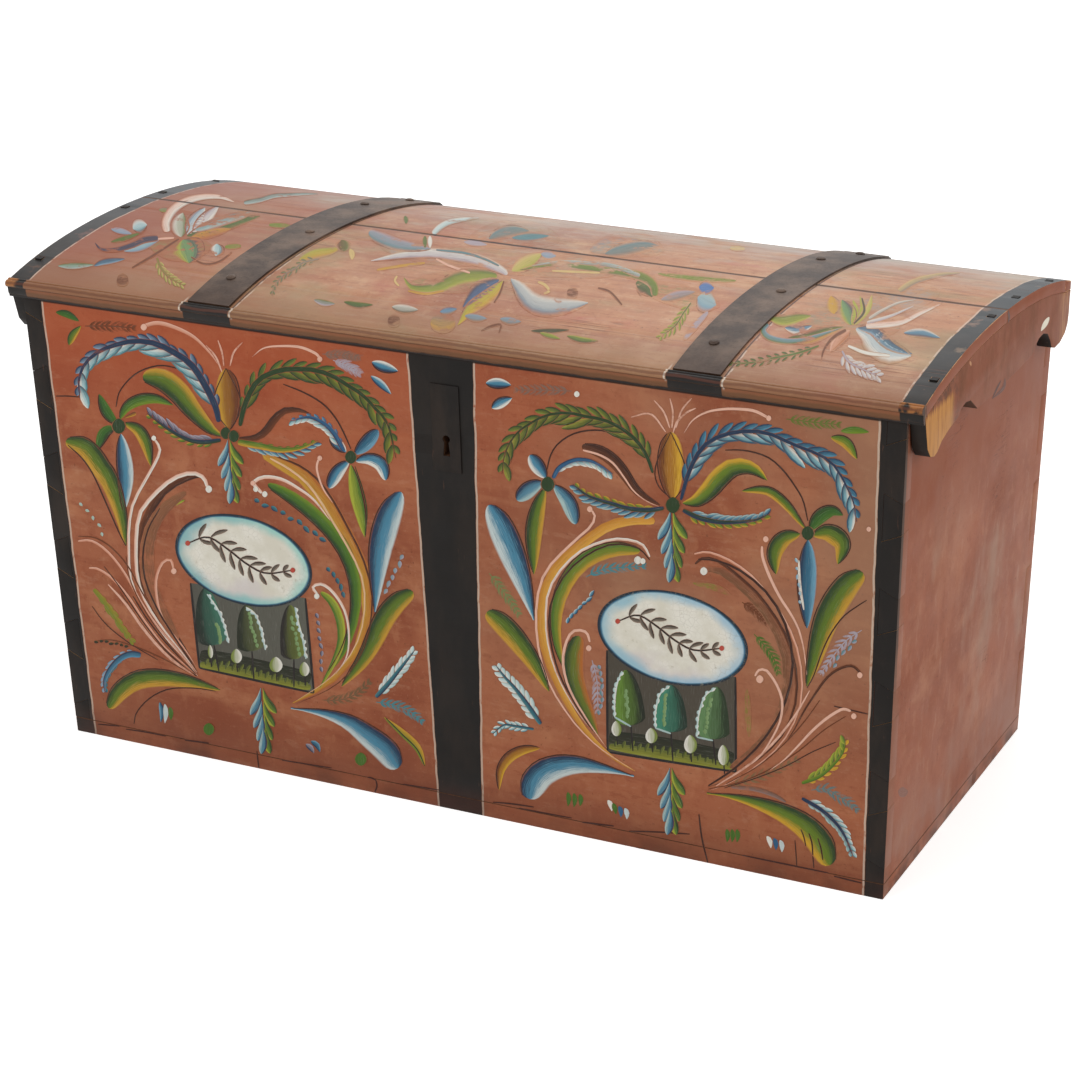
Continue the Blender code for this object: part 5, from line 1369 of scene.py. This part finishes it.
# Worn ornament of the lid: left third, middle, right third
lidStrokes = [
    ("haze", 20, "6F8F96 7C8A6A", [(168, 216), (186, 226), (206, 238)]),
    ("haze", 16, "7C8A5A", [(150, 246), (180, 250), (212, 246)], [(410, 284), (460, 282), (510, 278)]),
    ("haze", 18, "8FA09A 7E8C6E", [(500, 268), (560, 264), (620, 272)]),
    ("haze", 14, "8C9CA0", [(380, 246), (430, 254), (480, 262)]),
    ("haze", 18, "6F8FA0 8A9A8A", [(590, 250), (630, 244), (664, 250)]),
    ("haze", 20, "A9A59A", [(470, 238), (520, 234), (560, 240)]),
    ("haze", 22, "7C8E86 8A9A7A", [(800, 320), (850, 322), (900, 328)]),
    ("haze", 18, "8E9A9E", [(860, 306), (900, 300), (940, 292)]),
    ("haze", 16, "7C8A5A", [(640, 286), (680, 296), (720, 306)]),
    ("whip", 7, "rose white", [(167, 232), (166, 222), (172, 211), (184, 202), (202, 197), (220, 197),
        (234, 202)]),
    ("leaf", 12, "white green", [(181, 237), (180, 225), (183, 213)]),
    ("leaf", 10, "sky white", [(187, 234), (195, 222), (205, 208)]),
    ("leaf", 8, "lilac white", [(193, 232), (205, 220), (219, 206)]),
    ("leaf", 9, "forest green", [(187, 236), (214, 228), (238, 221), (260, 216)]),
    ("faint", 7, "teal mist", [(196, 230), (222, 221), (250, 213)]),
    ("leaf", 7, "ochre orange", [(190, 239), (208, 234), (231, 229)]),
    ("leaf", 22, "navy lime", [(183, 240), (188, 251), (189, 263)]),
    ("line", 1.6, "brown", [(191, 257), (201, 263), (211, 264), (222, 260), (232, 252)]),
    ("leaf", 9, "teal white", [(217, 244), (217, 250), (216, 256)]),
    ("whip", 5, "navy", [(158, 238), (144, 240), (130, 246), (114, 250), (101, 249), (95, 243)]),
    ("leaf", 7, "mist sky", [(124, 251), (142, 246), (160, 239)]),
    ("line", 2, "rose", [(158, 239), (174, 238)]),
    ("leaf", 10, "white teal", [(133, 229), (139, 226), (147, 225)]),
    ("leaf", 5, "lilac sky", [(111, 229), (121, 231), (132, 234)]),
    ("leaf", 4, "green", [(111, 242), (123, 239), (141, 233)]),
    ("leaf", 5, "green mist", [(58, 266), (74, 266), (94, 265)]),
    ("leaf", 5, "navy sky", [(94, 266), (104, 262), (125, 259)]),
    ("line", 2, "brown", [(132, 268), (154, 255), (179, 239)]),
    ("leaf", 4, "grey leaf", [(159, 210), (171, 210)]),
    ("whip", 4, "forest mist", [(244, 203), (260, 200), (274, 196), (288, 195), (303, 194), (318, 194)]),
    ("faint", 4, "leaf", [(269, 225), (290, 226)], [(225, 247), (241, 246)]),
    ("leaf", 7, "lime ochre", [(299, 260), (314, 254), (331, 251), (342, 247)]),
    ("leaf", 10, "green brown", [(342, 240), (343, 246), (342, 252)]),
    ("leaf", 5, "straw", [(350, 249), (352, 254), (352, 260)]),
    ("leaf", 5, "green lilac", [(314, 300), (324, 303), (335, 304)]),
    ("leaf", 5, "green forest", [(344, 302), (358, 305), (373, 305)]),
    ("leaf", 7, "white forest", [(392, 307), (405, 309), (418, 310)]),
    ("blunt", 9, "lilac teal", [(369, 232), (381, 238), (398, 244), (415, 247), (431, 249)]),
    ("blunt", 8, "lilac white", [(507, 275), (503, 271), (489, 264), (475, 259), (457, 256), (436, 253),
        (415, 254), (397, 256), (381, 259), (371, 261)]),
    ("line", 2, "teal", [(436, 250), (464, 253), (484, 259), (499, 266)]),
    ("line", 2.5, "ochre", [(377, 270), (401, 266), (425, 263)]),
    ("line", 2, "rose", [(436, 259), (450, 266), (470, 273)]),
    ("blunt", 10, "lime green", [(497, 276), (471, 276), (454, 280), (440, 287), (425, 289), (411, 287),
        (404, 278)]),
    ("line", 2, "ochre", [(408, 291), (426, 294), (444, 291)]),
    ("line", 2, "straw", [(397, 276), (395, 281), (399, 286)]),
    ("leaf", 10, "blue navy", [(499, 280), (489, 285), (478, 291), (463, 307)]),
    ("leaf", 9, "yellow lime", [(504, 281), (495, 291), (484, 300), (471, 309), (458, 325)]),
    ("line", 1.6, "brown", [(504, 281), (500, 293), (494, 303)]),
    ("leaf", 6, "blue grey", [(440, 312), (448, 311), (457, 309)]),
    ("faint", 13, "grey ochre", [(431, 321), (443, 324), (455, 321)]),
    ("leaf", 6, "sky grey", [(465, 316), (476, 318), (487, 319)], [(500, 319), (510, 321), (521, 322)]),
    ("faint", 2, "brown", [(481, 331), (492, 326), (501, 325), (499, 333)]),
    ("leaf", 4, "forest", [(531, 331), (550, 331), (569, 330)]),
    ("leaf", 4, "lime green", [(540, 333), (550, 336), (560, 339)]),
    ("leaf", 5, "lime forest", [(567, 336), (582, 340), (598, 341)]),
    ("leaf", 14, "white 5F7C8C", [(511, 279), (520, 288), (529, 299), (541, 305), (562, 306), (588, 303)]),
    ("line", 2.5, "straw", [(538, 282), (545, 285), (549, 291), (544, 294)]),
    ("leaf", 10, "straw lime", [(512, 271), (527, 262), (542, 254)]),
    ("leaf", 6, "lilac sky", [(541, 254), (548, 255), (556, 256)]),
    ("whip", 7, "green leaf", [(655, 296), (654, 286), (645, 278), (628, 273), (600, 269), (576, 266),
        (555, 264), (520, 270)]),
    ("whip", 4, "grey mist", [(640, 276), (612, 266), (585, 263), (560, 262), (532, 266)]),
    ("leaf", 15, "green forest", [(636, 283), (648, 287), (652, 297)]),
    ("line", 2, "straw", [(552, 271), (576, 272), (600, 273)]),
    ("line", 2, "brown", [(598, 288), (610, 292), (622, 305)]),
    ("faint", 4, "leaf", [(658, 274), (700, 279), (736, 281)]),
    ("leaf", 8, "teal grey", [(489, 239), (499, 234), (513, 231), (529, 231)]),
    ("leaf", 6, "teal", [(512, 238), (530, 237), (549, 236)]),
    ("leaf", 5, "lilac", [(464, 242), (475, 243), (487, 245)]),
    ("leaf", 9, "teal grey", [(605, 254), (623, 250), (644, 246), (659, 246)]),
    ("whip", 5, "white mist", [(433, 234), (440, 227), (450, 222), (467, 219), (479, 218)]),
    ("leaf", 4, "green", [(425, 236), (425, 242), (425, 248)]),
    ("leaf", 4, "white", [(430, 236), (430, 242), (430, 248)]),
    ("leaf", 4, "green", [(405, 216), (406, 220), (406, 224)]),
    ("leaf", 9, "2F6FA8", [(699, 287), (706, 288), (714, 288)]),
    ("leaf", 15, "mist sky", [(698, 297), (707, 302), (716, 305)]),
    ("leaf", 7, "lilac grey", [(661, 300), (679, 295), (695, 292)]),
    ("faint", 5, "lilac", [(708, 312), (696, 325), (684, 340)]),
    ("faint", 4, "straw", [(730, 248), (745, 249)]),
    ("leaf", 8, "green lime", [(769, 318), (783, 321), (799, 318), (811, 316)]),
    ("whip", 5, "sky green", [(768, 324), (763, 330), (768, 337), (782, 341), (799, 341), (818, 336),
        (842, 328)]),
    ("leaf", 7, "navy white", [(785, 328), (799, 330), (812, 326)]),
    ("leaf", 9, "forest ochre", [(787, 339), (808, 338), (826, 332), (843, 327)]),
    ("whip", 3, "brown", [(846, 330), (833, 338), (824, 350), (821, 362)]),
    ("leaf", 8, "orange rose", [(850, 331), (838, 340), (830, 352)]),
    ("leaf", 17, "sky white", [(856, 329), (868, 334), (878, 345), (890, 353), (911, 356)]),
    ("leaf", 8, "navy sky", [(858, 328), (874, 331), (887, 343), (900, 350), (912, 354)]),
    ("line", 3, "white", [(848, 346), (866, 353), (890, 356)]),
    ("leaf", 9, "yellow ochre", [(834, 314), (833, 305), (831, 296)]),
    ("leaf", 11, "lime navy", [(851, 325), (847, 311), (842, 300)]),
    ("leaf", 5, "lime", [(852, 325), (856, 311), (853, 300)]),
    ("leaf", 4, "lime", [(853, 325), (862, 310), (860, 296)]),
    ("leaf", 5, "straw lime", [(855, 325), (868, 309), (872, 295)]),
    ("line", 2, "forest", [(854, 324), (864, 312), (862, 298)]),
    ("whip", 3, "white grey", [(869, 319), (882, 311), (899, 303), (916, 300)]),
    ("whip", 3, "white lilac", [(867, 323), (891, 316), (914, 306)]),
    ("whip", 5, "rose white", [(866, 326), (899, 323), (921, 313), (941, 304)]),
    ("whip", 5, "straw grey", [(899, 291), (916, 281), (940, 275), (960, 273)]),
    ("leaf", 7, "white navy", [(904, 333), (922, 333), (940, 338)]),
    ("faint", 9, "brown", [(117, 279), (122, 280), (128, 279)], [(388, 320), (394, 321), (400, 320)]),
    ("faint", 8, "brown", [(567, 292), (572, 293), (578, 292)]),
]
lidFeathers = dict(
    oliveTail=([(157, 258), (161, 268), (170, 278), (184, 286)], "olive", 3, "straw leaf", 8, 8),
    greyTail=([(319, 259), (303, 263), (295, 269), (287, 273), (279, 280), (274, 287), (272, 296)], "grey",
        2, "grey green", 10, 6),
    greenTwig=([(691, 303), (683, 314), (675, 326), (658, 339)], "green", 2, "green lime", 8, 8),
    greenTail=([(819, 346), (799, 353), (775, 358), (750, 363), (726, 363)], "green", 3, "green forest", 11,
        7),
    violetTail=([(842, 351), (849, 362), (866, 371), (880, 377)], "lilac", 3, "white lilac", 8, 12),
)

# The pale ovals and the dark groves under them
ovals = dict(
    left=dict(middle=(243, 560.5), half=(95.5, 59.0), rimLeft="6FA9AE", rimRight="8CC7BE",
              stem=[(188, 543), (208, 537), (228, 549), (246, 563), (266, 573), (293, 570)]),
    right=dict(middle=(672, 638), half=(92.5, 57.5), rimLeft="86B4C4", rimRight="8FB6CC",
               stem=[(618, 621), (638, 615), (657, 626), (675, 640), (695, 650), (722, 648)]),
)
# What both groves share: hedge and turf, blades of grass, trunks, beads, edges, stems and the dark frame
groveMarks = dict(
    hedgeUp=9, hedge=("line", 17, "1D2012 2A2C1C"), turf=("line", 9, "5E6428 83842E"),
    blades=dict(side=1, count=16, reach=9, width=4.0, lean=82, colours="2C3414 6A7030", start=0.02, end=0.98,
                bend=0.1, layer=1),
    trunk=("line", 1.7, "soot"), beadSize=3.6, beadCount=8, innerBeads="7E9A6A 6E8A56", edge="white mist",
    edgeWidth=1.8, hem="mist", stem=("line", 1.4, "soot"), stemLength=9, frame=("line", 2.4, "soot"),
)
# Of each tree: its body, width, paint, the pale edge, the pale line inside and the foot of its trunk
groves = dict(
    left=dict(
        sky="5C5C52 4E4C44", bush="white 76843A", hemmed=False,
        corners=[(190.6, 583), (305.4, 598), (314, 693), (199.5, 668)],
        trees=[
            ([(205, 588), (208, 615), (214, 645)], 29, "3A6A58 18221A", [(207, 594), (217.5, 609),
             (225, 627), (229, 643)], [(216, 624), (219, 634), (221, 643)], (219, 671)),
            ([(246, 605), (249, 628), (252, 651)], 28, "5A603A 1C2214", [(246, 607), (255, 614), (261, 629),
             (265.5, 650)], [(248, 612), (252, 627), (257, 648)], (254, 680)),
            ([(290, 605), (291, 632), (294, 659)], 25, "6A7434 1E1A16", [(295, 607), (298.5, 623),
             (303, 640), (306, 659)], [(291, 616), (295, 635), (299, 657)], (294, 687)),
        ],
        bushes=[((210, 645), 5, 13), ((236, 649), 11, 14), ((275.5, 657), 13, 15), ((304, 662), 10, 14)],
        grass=[(200, 664), (228, 670), (254, 676), (282, 682), (311, 687.5)],
    ),
    right=dict(
        sky="4C463C 443E34", bush="76843A white", hemmed=True,
        corners=[(607, 650), (735.5, 677), (736, 772), (607.5, 752)],
        trees=[
            ([(626, 670), (629, 697), (631, 725)], 30, "1A2014 5E7E30", [(622, 671), (617, 684),
             (614.7, 700), (614.7, 717)], [(626, 690), (627, 704), (628, 718)], (633, 751)),
            ([(671, 685), (671, 708), (671, 732)], 33, "1A2C22 3F8068", [(670, 686), (660, 694),
             (655.5, 712), (655.5, 728)], [(667, 694), (664, 710), (664, 726)], (673, 761)),
            ([(717, 687), (714, 712), (713, 739)], 33, "22301C 5C7E50", [(716, 688), (705, 696),
             (698.5, 716), (697, 737)], [(712, 698), (707, 716), (706, 734)], (716, 765)),
        ],
        bushes=[((616, 721), 10, 15), ((651, 728), 12, 15), ((690, 735), 13, 18), ((723, 745), 11, 20)],
        grass=[(609, 746), (640, 751), (671, 756), (703, 762), (734, 767)],
    ),
)


def paintGrove(painter, grove):
    painter.patch(grove["sky"], grove["corners"])
    upperLeft, upperRight, lowerRight, lowerLeft = grove["corners"]
    style = groveMarks
    hedge = [Vector(point) - Vector((0, style["hedgeUp"])) for point in grove["grass"]]
    painter.stroke(*style["hedge"], hedge, 1)
    painter.stroke(*style["turf"], grove["grass"], 1)
    painter.tufts(grove["grass"], **style["blades"])
    for body, width, colours, edge, inner, trunk in grove["trees"]:
        edge = [Vector(point) for point in edge]
        painter.stroke(*style["trunk"], [body[-1], trunk], 2)
        painter.stroke("tree", width, colours, body, 1)
        painter.beads(style["beadSize"], style["innerBeads"], inner, style["beadCount"], 2)
        painter.stroke("line", style["edgeWidth"], style["edge"], edge, 3)
        painter.beads(style["beadSize"], style["edge"], edge, style["beadCount"], 3)
        if grove["hemmed"]:              # a pale line under the tree too
            middle = Vector(body[-1]) + Vector((0, 1.5))
            hem = [edge[-1], (edge[-1] + middle) / 2, middle]
            painter.stroke("line", style["edgeWidth"], style["hem"], hem, 3, 0.9)
    for top, width, height in grove["bushes"]:
        path = [top, (top[0] + 0.5, top[1] + height / 2), (top[0] + 1, top[1] + height)]
        painter.stroke(*style["stem"], [path[2], (path[2][0] + 0.6, path[2][1] + style["stemLength"])], 2)
        painter.stroke("petal", width, grove["bush"], path, 3)
    for path in ([upperLeft, lowerLeft], [lowerLeft, lowerRight], [lowerRight, upperRight]):
        painter.stroke(*style["frame"], path, 3)


def ovalPaint(name, oval, middle):
    graph = Graph(name)
    place = graph.place()
    across = (place.part("X") - middle.x) * (1 / (oval["half"][0] * mm))
    up = (place.part("Z") - middle.z) * (1 / (oval["half"][1] * mm))
    uneven = place.noise(26.0, 3.0) - 0.5
    reach = (across * across + up * up).root() + uneven * 0.035
    cloud = place.noise(30.0, 4.0, 0.6)
    colour = cloud.between(0.36, 0.64).blend("ovalShade", "ovalLight")
    colour = colour.glaze("ovalFoot", (up * -1.0 + uneven).between(0.45, 0.80), 0.5)
    rimColour = across.between(-0.7, 0.7).blend(oval["rimLeft"], oval["rimRight"])
    colour = colour.mix(rimColour, (reach + uneven * 0.3).between(0.72, 0.95) * 0.85)
    colour = colour.glaze("ovalRim", reach.between(0.925, 0.955))
    colour = colour.glaze("ovalLine", reach.between(0.950, 0.972))
    warped = place.noise(60.0, 3.0) * 0.006 + place
    crackle = warped.cells(150.0, "DISTANCE_TO_EDGE").between(0.045, 0.0) * cloud.between(0.44, 0.62)
    colour = colour.glaze("crackle", crackle, 0.35)
    stains = place.noise(110.0, 4.0, 0.65).between(0.60, 0.74)
    colour = colour.glaze("foxing", stains, 0.5)
    height = crackle * -1.0 + cloud * 0.4
    return graph.finish(colour, cloud * 0.2 + 0.38, height, 0.15 * mm, specular=0.25)


def makeOval(side, oval):
    middle = onFront(*oval["middle"], paintFilm["lift"] + paintFilm["layer"] * ovalLayer)
    bm = bmesh.new()
    grid = bmesh.ops.create_grid(bm, x_segments=40, y_segments=28, size=1.0)
    rise = Vector((0, -frontLean, 1)).normalized() * oval["half"][1] * mm
    for vert in grid["verts"]:
        u, v = vert.co.x, vert.co.y
        across, up = u * math.sqrt(1 - v * v / 2), v * math.sqrt(1 - u * u / 2)
        vert.co = middle + Vector((across * oval["half"][0] * mm, 0, 0)) + rise * up
    name = f"front_{side}_oval"
    made = makeObject(name, bm, [ovalPaint(name, oval, middle)], "chest", "painted_wood")
    addFilm(made, paintFilm["depth"] + paintFilm["layer"] * ovalLayer)


sprigLeaves = dict(count=9, reach=15, width=4.2, lean=52, colours="soot grey", start=0.05, end=0.97,
                   bend=0.3, layer=8)


def paintSprig(painter, oval):
    # A plain leafy sprig on the oval, nothing written
    stem = oval["stem"]
    painter.stroke("line", 1.8, "soot", stem, 8)
    for side in (1, -1):
        painter.tufts(stem, side, **sprigLeaves)
    for middle in (stem[0], stem[-1]):
        painter.dot("red", middle, 2.6, 9)


# Cracks and dark joints of the front, and the bare spots of the right side
frontCracks = [
    (1.5, "crack", [(98, 724), (109, 725), (120, 726)], [(126, 729), (146, 732), (166, 736)]),
    (1.8, "crack", [(185, 740), (209, 743)]),
    (1.5, "crack", [(282, 760), (307, 764), (332, 768)], [(403, 784), (421, 787), (439, 790)]),
    (1.7, "crack", [(493, 802), (514, 804), (534, 807)]),
    (1.5, "crack", [(519, 808), (545, 813), (572, 818)]),
    (1.8, "crack", [(582, 822), (614, 826)]),
    (1.7, "crack", [(629, 831), (660, 832), (690, 834)]),
    (1.8, "crack", [(742, 855), (771, 861), (800, 867), (829, 873)], [(834, 876), (862, 883)]),
    (1.4, "umber", [(257, 751), (258, 760), (259, 768)]),
    (1.8, "umber", [(699, 814), (702, 838), (708, 863)]),
    (1.2, "umber", [(795, 840), (796, 852), (797, 867)]),
    (1.3, "umber", [(813, 846), (813, 856), (814, 868)]),
    (1.4, "umber", [(56, 396), (68, 396), (80, 397)]),
    (1.6, "crack", [(834, 706), (851, 710), (868, 714)]),
    (1.7, "crack", [(368, 777), (372, 778), (376, 780)]),
    (1.8, "crack", [(376, 780), (377, 786), (375, 792)]),
    (3.6, "crack", [(637, 848), (641, 851), (645, 850)]),
]
sideMarks = [
    (3.4, "5A2C1A", onRightCleat, [(1005, 378), (1003, 388), (992, 399)]),
    (2.0, "4A2416", onRightCleat, [(1001, 380), (996, 390), (992, 399)]),
    (2.2, "4A2416", onRightCleat, [(1008, 310), (1009, 317), (1008, 323)]),
    (4.8, "E4DCC8", onRightCleat, [(1049, 317), (1045, 324), (1041, 331)]),
    (2.0, "B07A4C", onRightCleat, [(970, 361), (971, 366)]),
    (11.0, "7A4A38", onRightSide, [(898, 791), (903, 792), (908, 791)]),
]


palmetteShape = dict(step=0.2, spread=0.50, narrowing=0.11, shoulder=0.34, bend=0.5)


def palmette(painter, top, foot, count, reach, width):
    # Hanging drops that part from a middle line, blue on one side, green on the other
    top, foot = Vector(top), Vector(foot)
    fall = (foot - top).normalized()
    shape = palmetteShape
    for index in range(count):
        here = top.lerp(foot, shape["step"] * index)
        spread = shape["spread"] - shape["narrowing"] * index
        for side, colours in ((1, "forest lime"), (-1, "navy mist")):
            aside = leftOf(fall) * side
            bend = here + aside * reach * spread * shape["shoulder"] + fall * reach * shape["bend"]
            path = [here + aside, bend, here + aside * reach * spread + fall * reach]
            painter.stroke("drop", width, colours, path, 1)


twigTufts = dict(count=9, reach=9, width=2.8, lean=40, layer=0, kind="wisp")
outlineFrom = 10                             # pixels of width from which a mark has a dark edge


def paintField(name, seed, strokes, dots, feathers, twigs, beads, palmettes):
    painter = Painter(name, onFront, "chest", seed)
    for colour, path in twigs.values():
        for side in (1, -1):
            painter.tufts(path, side, colours=colour, **twigTufts)
        painter.stroke("line", 1.3, colour, path, 0, 0.75)
    for kind, width, colours, *paths in strokes.values():
        broad = width >= outlineFrom and kind in ("leaf", "blunt", "blade", "scythe", "petal")
        lay = painter.outlined if broad else painter.stroke
        for path in paths:
            lay(kind, width, colours, path, layerOf(kind))
    for path, spine, spineWidth, *barbs in feathers.values():
        painter.feather(path, spine, spineWidth, barbs, 2)
    for size, colours, path, count in beads.values():
        painter.beads(size, colours, path, count, 2)
    for top, foot, count, reach, width in palmettes.values():
        palmette(painter, top, foot, count, reach, width)
    for colours, middle, radius in dots:
        painter.dot(colours, middle, radius, 4)
    return painter


# One seed for each painted piece, so that it comes out the same every time
seeds = dict(left=11, right=23, leftGrove=61, rightGrove=62, cracks=5, lid=31, firstSideMark=40)
fields = dict(
    left=(leftField, leftDots, leftFeathers, leftTwigs, leftBeads, leftPalmettes),
    right=(rightField, rightDots, rightFeathers, rightTwigs, rightBeads, rightPalmettes),
)
for side, tables in fields.items():
    painter = paintField(f"front_{side}_painting", seeds[side], *tables)
    grovePainter = Painter(f"front_{side}_grove", onFront, "chest", seeds[side + "Grove"])
    paintGrove(grovePainter, groves[side])
    grovePainter.finish(groveBrush)
    makeOval(side, ovals[side])
    paintSprig(painter, ovals[side])
    painter.finish(frontBrush)
    print(side, "field painted:", painter.count, "strokes")

cracks = Painter("front_cracks", onFront, "chest", seeds["cracks"])
for width, colours, *paths in frontCracks:
    for path in paths:
        cracks.stroke("line", width, colours, path, 5)
cracks.finish(frontBrush)

lidMarks = dict(outlineFrom=8, outlinedWider=1.6, wider=1.5, edge=(1.5, 0.45))
lidPainter = Painter("lid_painting", onLid, "lid", seeds["lid"])
for kind, width, colours, *paths in lidStrokes:      # blurred by wear, so broader than in the photo
    for path in paths:
        if kind in ("leaf", "blunt") and width >= lidMarks["outlineFrom"]:
            broad = width * lidMarks["outlinedWider"]
            lidPainter.outlined(kind, broad, colours, path, layerOf(kind), *lidMarks["edge"])
        else:
            lidPainter.stroke(kind, width * lidMarks["wider"], colours, path, layerOf(kind))
for path, spine, spineWidth, colours, count, reach in lidFeathers.values():
    for side in (1, -1):
        lidPainter.tufts(path, side, count, reach, reach * 0.42, 40, colours)
    lidPainter.stroke("whip", spineWidth, spine, path, 2)
lidPainter.finish(lidBrush)
print("lid painted:", lidPainter.count, "strokes")

for index, (width, colours, surface, path) in enumerate(sideMarks):
    body = "lid" if surface is onRightCleat else "chest"
    marker = Painter(f"side_mark_{index}", surface, body, seeds["firstSideMark"] + index)
    marker.stroke("leaf", width, colours, path, 1)
    marker.finish(sideBrush)
